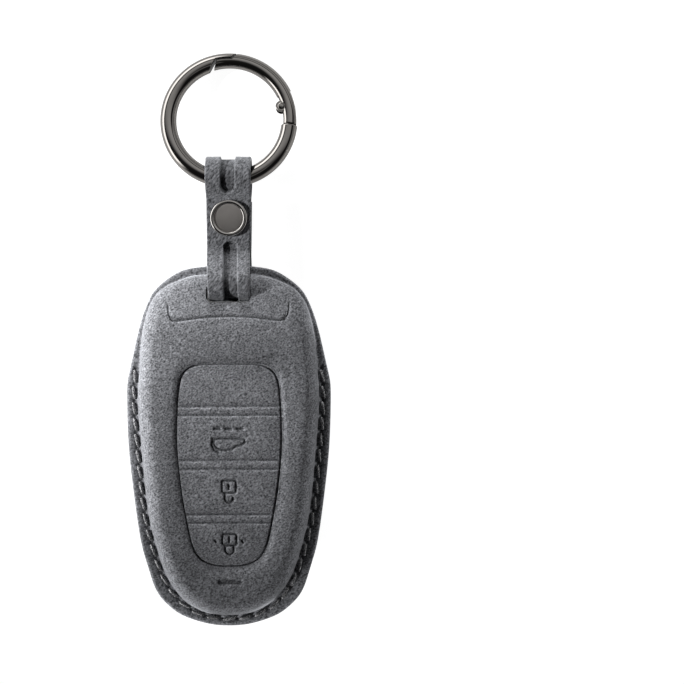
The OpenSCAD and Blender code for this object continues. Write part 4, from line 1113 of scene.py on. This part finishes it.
def barrel(r, low, high, n=64, eased=0.0):
    """Round block about the pin's axis, its edges eased."""
    a = np.linspace(0, 2 * np.pi, n, endpoint=False)
    rims = [(r, low), (r, high)]
    if eased:
        rims = [(r - eased, low), (r, low + eased), (r, high - eased), (r - eased, high)]
    loops = [np.column_stack([PIN_AT[0] + q * np.cos(a), PIN_AT[1] + q * np.sin(a),
        np.full(n, level)]) for q, level in rims]
    points = np.concatenate([*loops, [[*PIN_AT, low], [*PIN_AT, high]]])
    return to_ring(points), *tube_faces(len(rims), n)


def reshape(piece, shape, how="DIFFERENCE"):
    """The wire cut by a block in the ring's plane, or joined to it."""
    cut_with(piece, lay_mesh("block", *shape), how, 38)


def paint_lap_shade(piece, is_cut, columns):
    """The flat faces of the lap, first in each row of the wire's quads, take the near-black plate,
    painted shade in the lap's gap.
    """
    index = np.zeros(len(piece.data.polygons), int)
    grid = index[:(len(is_cut) - 1) * columns].reshape(-1, columns)
    grid[is_cut[:-1], :FLAT_N - 1] = 1
    piece.data.polygons.foreach_set("material_index", index)


ring_plate = plated("ring_plate", (0.3, 0.285, 0.27), 0.07)
# A near-black, rougher plate for the lap's faces: painted shade in the gap between the ring and the
# gate.
lap_shade_plate = plated("ring_lap_painted_shade", (0.035, 0.033, 0.031), 0.3)
lap_marks = np.array([LAP_OUT, LAP_STEP, LAP_END, LAP_IN])
body_marks = lap_marks + LAP_GAP + (0, 0, 0, LAP_ROOM)
body_share = (REACH - BODY_R * CUT_SHARE) / (REACH - LAP_SHIFT)
body_first = LAP_OUT + LAP_GAP + (LAP_STEP - LAP_OUT) * body_share
angle = np.concatenate([np.linspace(body_first, BODY_MID, 90),
    np.linspace(BODY_MID, BODY_LAST, 190)[1:], BODY_TIP - END_STEPS[::-1]])
cut = np.interp(angle, body_marks, [REACH, LAP_SHIFT + LAP_SLACK, LAP_SHIFT + LAP_SLACK, -REACH])
sections = round_end(wire(angle, cut, -1, BODY_R), range(-1, -6, -1), BODY_R)
ring_body = close_wire("ring_wire", sections, -1)
ring_body.data.materials.append(ring_plate)
ring_body.data.materials.append(lap_shade_plate)
paint_lap_shade(ring_body, cut > -BODY_R, sections.shape[1])
tongue_levels = (TONGUE_LOW, TONGUE_LOW + TONGUE_T)
reshape(ring_body,
    sector(RING_R - TONGUE_HALF, RING_R + TONGUE_HALF, HEEL - 3, TONGUE_END, *tongue_levels),
    "UNION")
reshape(ring_body, barrel(EYE_OF_PIN_R, *tongue_levels), "UNION")
reshape(ring_body, barrel(DRILL_R, -3, 3))
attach(ring_body, "ring")
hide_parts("ring_body")


# The gate: the missing part of the ring, cast and plated in the same way. Its heel is forked over
# the ring's tongue, with a round lug for the pin on the inside, and its tip steps in under the
# ring's lap.
GATE_R, GATE_SHIFT, GATE_MID, SEAT_R = 2.07, 0.13, 80, 1.07
FORK_DEEP, FORK_END = 4.2, 26
gate_share = (LAP_SHIFT + GATE_R * CUT_SHARE) / (LAP_SHIFT + REACH)
gate_last = LAP_END + (LAP_IN - LAP_END) * gate_share
angle = np.concatenate([HEEL + 0.75 + END_STEPS, np.linspace(HEEL + 2.2, GATE_MID, 90),
    np.linspace(GATE_MID, gate_last, 90)[1:]])
cut = np.interp(angle, lap_marks, [REACH, LAP_SHIFT, LAP_SHIFT, -REACH])
sections = round_end(wire(angle, cut, 1, GATE_R), range(5), GATE_R)
sections[..., :2] *= (RING_R + GATE_SHIFT) / RING_R
gate = close_wire("gate_wire", sections, 1)
gate.data.materials.append(ring_plate)
gate.data.materials.append(lap_shade_plate)
paint_lap_shade(gate, cut < GATE_R, sections.shape[1])
reshape(gate, barrel(LUG_R, -LUG_HALF, LUG_HALF, eased=0.12), "UNION")
reshape(gate,
    sector(RING_R - FORK_DEEP, RING_R + REACH, HEEL - 3, FORK_END, -FORK_HALF, FORK_HALF))
reshape(gate, barrel(DRILL_R, -3, 3))
for low, high in ((LUG_HALF, 4), (-4, -LUG_HALF)):
    reshape(gate, barrel(SEAT_R, low, high))
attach(gate, "gate")
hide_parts("ring_gate")


# The pin of the gate: a plated rivet with a domed head at each end, in the flat seats of the fork.
# The torsion spring is wound round it beside the tongue.
SHANK_R, HEAD_R, HEAD_EDGE_R = 0.6, 0.9, 0.93
HEAD_FOOT, HEAD_EDGE, HEAD_H = LUG_HALF + 0.03, LUG_HALF + 0.12, 0.34
HEAD_TOP = LUG_HALF + 0.46
head = np.radians(np.linspace(0, 88, 9))
dome = np.stack([HEAD_EDGE_R * np.cos(head), HEAD_EDGE + HEAD_H * np.sin(head)], -1)
pin_half = np.concatenate([[(SHANK_R, 0.0), (SHANK_R, HEAD_FOOT), (HEAD_R, HEAD_FOOT)], dome])
pin_profile = np.concatenate([[(0, -HEAD_TOP)], (pin_half[::-1] * (1, -1))[:-1],
    pin_half[1:], [(0, HEAD_TOP)]])
pin = turned("gate_pin_rivet", PIN_AT[0], PIN_AT[1], 0, pin_profile, around=64, sharp=45)
upright = np.empty(len(pin.data.vertices) * 3)
pin.data.vertices.foreach_get("co", upright)
pin.data.vertices.foreach_set("co", (to_ring(upright.reshape(-1, 3) / MM) * MM).ravel())
pin.data.update()
pin.data.materials.append(ring_plate)
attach(pin, "ring")
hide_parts("gate_pin")
refinish("gate_spring", spring_steel)


# The table: a white top just under the cover. It is a middle grey to the lamps and white to the
# camera, and polished metal sees it half as bright. It stays dark where the strap's slot lets the
# camera look through the cover.
TABLE_HALF, TABLE_Z = 2, -0.0001
table_mesh = bpy.data.meshes.new("table_top")
table_mesh.from_pydata([(x * TABLE_HALF, y * TABLE_HALF, TABLE_Z)
    for x, y in ((-1, -1), (1, -1), (1, 1), (-1, 1))], [], [(0, 1, 2, 3)])
table = bpy.data.objects.new("table_top", table_mesh)
bpy.context.scene.collection.objects.link(table)
white = bpy.data.materials.new("table_white")
white.use_nodes = True
tree = white.node_tree
rays_seen = put(tree, "LightPath").node.outputs
shown = put(tree, "Math", {0: rays_seen["Is Glossy Ray"], 1: 0.45, 2: rays_seen["Is Camera Ray"]},
    operation="MULTIPLY_ADD")
under = put(tree, "Mapping", {"Vector": put(tree, "TexCoord", out="Object"),
    "Location": (-0.0001, 0.04, 0), "Scale": (0.012, 0.0065, 1)}, vector_type="TEXTURE")
reach = put(tree, "VectorMath", {0: under}, "Value", operation="LENGTH")
covered = put(tree, "MapRange", {"Value": reach, "From Min": 0.9, "To Max": 0.95})
strength = put(tree, "Math", {0: shown, 1: covered}, operation="MULTIPLY")
matt = put(tree, "BsdfDiffuse", {"Color": (0.35, 0.35, 0.35, 1)})
glow = put(tree, "Emission", {"Strength": strength})
feed(tree, tree.nodes["Material Output"], {"Surface": put(tree, "AddShader", {0: matt, 1: glow})})
table_mesh.materials.append(white)


# The room and the lamps. The room is dim to the suede and white to the camera, and metal sees a
# bright ceiling in it, dark gaps and two bright strips. Two lamps at the left rake over the suede,
# a weak one lifts the right rim, one shines from beyond the ring and one on the closed end.
world = bpy.data.worlds.new("room")
bpy.context.scene.world = world
world.use_nodes = True
tree = world.node_tree
feed(tree, tree.nodes["Background"], {"Color": (1, 1, 1, 1), "Strength": 0.05})
seen = put(tree, "LightPath").node.outputs
direction = put(tree, "TexCoord", out="Generated")
apart = put(tree, "SeparateXYZ", {0: direction}).node.outputs
level_part = put(tree, "VectorMath", {0: direction, 1: (1, 1, 0)}, operation="MULTIPLY")
level_length = put(tree, "VectorMath", {0: level_part}, "Value", operation="LENGTH")
climb = put(tree, "Math", {0: apart["Z"], 1: level_length}, operation="ARCTAN2")
bearing = put(tree, "Math", {0: apart["Y"], 1: apart["X"]}, operation="ARCTAN2")


def room_band(value, low, high, soft):
    """One between two angles of the room, in degrees, and nought outside, with soft edges."""
    edges = [put(tree, "MapRange", {"Value": value, "From Min": np.radians(at - side * soft),
        "From Max": np.radians(at + side * soft)}, interpolation_type="SMOOTHSTEP")
        for at, side in ((low, 1), (high, -1))]
    return put(tree, "Math", {0: edges[0], 1: edges[1]}, operation="MULTIPLY")


def room_patch(start, end, side_soft, low, high, soft):
    """One between two bearings and two angles of climb, and nought outside, with soft edges."""
    return put(tree, "Math", {0: room_band(bearing, start, end, side_soft),
        1: room_band(climb, low, high, soft)}, operation="MULTIPLY")


def room_step(base, where, level):
    """The room's level, changed to another where a mask is one."""
    return put(tree, "Mix", {"Factor": where, "A": base, "B": level}, "Result")


slant = put(tree, "VectorMath", {0: direction, 1: (0.2, 0.95, 0.0)}, "Value",
    operation="DOT_PRODUCT")
level = put(tree, "MapRange", {"Value": slant, "From Min": -0.08, "From Max": 0.5,
    "To Min": 0.03, "To Max": 0.85}, interpolation_type="SMOOTHSTEP")
level = room_step(level, room_band(climb, 33, 43, 3), 0.04)
level = room_step(level, room_band(climb, -90, 22, 5), 0.4)
for patch, brightness in (((-158, -20, 10, 14, 68, 6), 0.02), ((-30, 34, 10, 24, 49, 5), 0.015),
        ((-85, -12, 8, 64, 74, 3), 0.3), ((98, 200, 8, -90, 27, 2.5), 4.5),
        ((-200, -150, 8, -90, 27, 2.5), 4.5)):
    level = room_step(level, room_patch(*patch), brightness)
glossy = put(tree, "Background", {"Strength": level})
bright = put(tree, "Background", {"Strength": 1.0})
pick = put(tree, "MixShader", {0: seen["Is Glossy Ray"],
    1: tree.nodes["Background"].outputs[0], 2: glossy})
clear = put(tree, "Math", {0: seen["Is Camera Ray"], 1: seen["Is Transmission Ray"]},
    operation="MAXIMUM")
feed(tree, tree.nodes["World Output"],
    {"Surface": put(tree, "MixShader", {0: clear, 1: pick, 2: bright})})


def lamp(name, at, aim, size, power, spread=None):
    """Small lamp that faces a point: a square panel, or a spot whose light fades out to the given
    angle."""
    light = bpy.data.lights.new(name, "SPOT" if spread else "AREA")
    light.energy = power
    if spread:
        light.shadow_soft_size, light.spot_size = size / 2, np.radians(spread)
        light.spot_blend = 1.0
    else:
        light.shape, light.size = "SQUARE", size
    holder = bpy.data.objects.new(name, light)
    holder.location = at
    x, y, z = (b - a for a, b in zip(at, aim))
    pitch, heading = np.arctan2(z, np.hypot(x, y)), np.arctan2(y, x)
    holder.rotation_euler = (np.pi / 2 + pitch, 0, heading - np.pi / 2)
    holder.visible_camera = holder.visible_glossy = False
    bpy.context.scene.collection.objects.link(holder)


lamp("raking_lamp", (-0.45, 0.07, 0.235), (0, 0.057, 0.01), size=0.012, power=15.8, spread=24)
lamp("low_lamp", (-0.5, 0.05, 0.045), (0, 0.03, 0.01), size=0.06, power=19.0, spread=27)
lamp("rim_lamp", (0.3, 0.01, 0.034), (0, 0.01, 0.008), size=0.03, power=0.45)
lamp("far_lamp", (-0.02, 0.55, 0.055), (0, 0.045, 0.01), size=0.06, power=12.5, spread=34)
lamp("near_lamp", (-0.25, -0.3, 0.09), (-0.004, -0.056, 0.007), size=0.05, power=9.0, spread=10)
bpy.context.scene.view_settings.view_transform = "Standard"
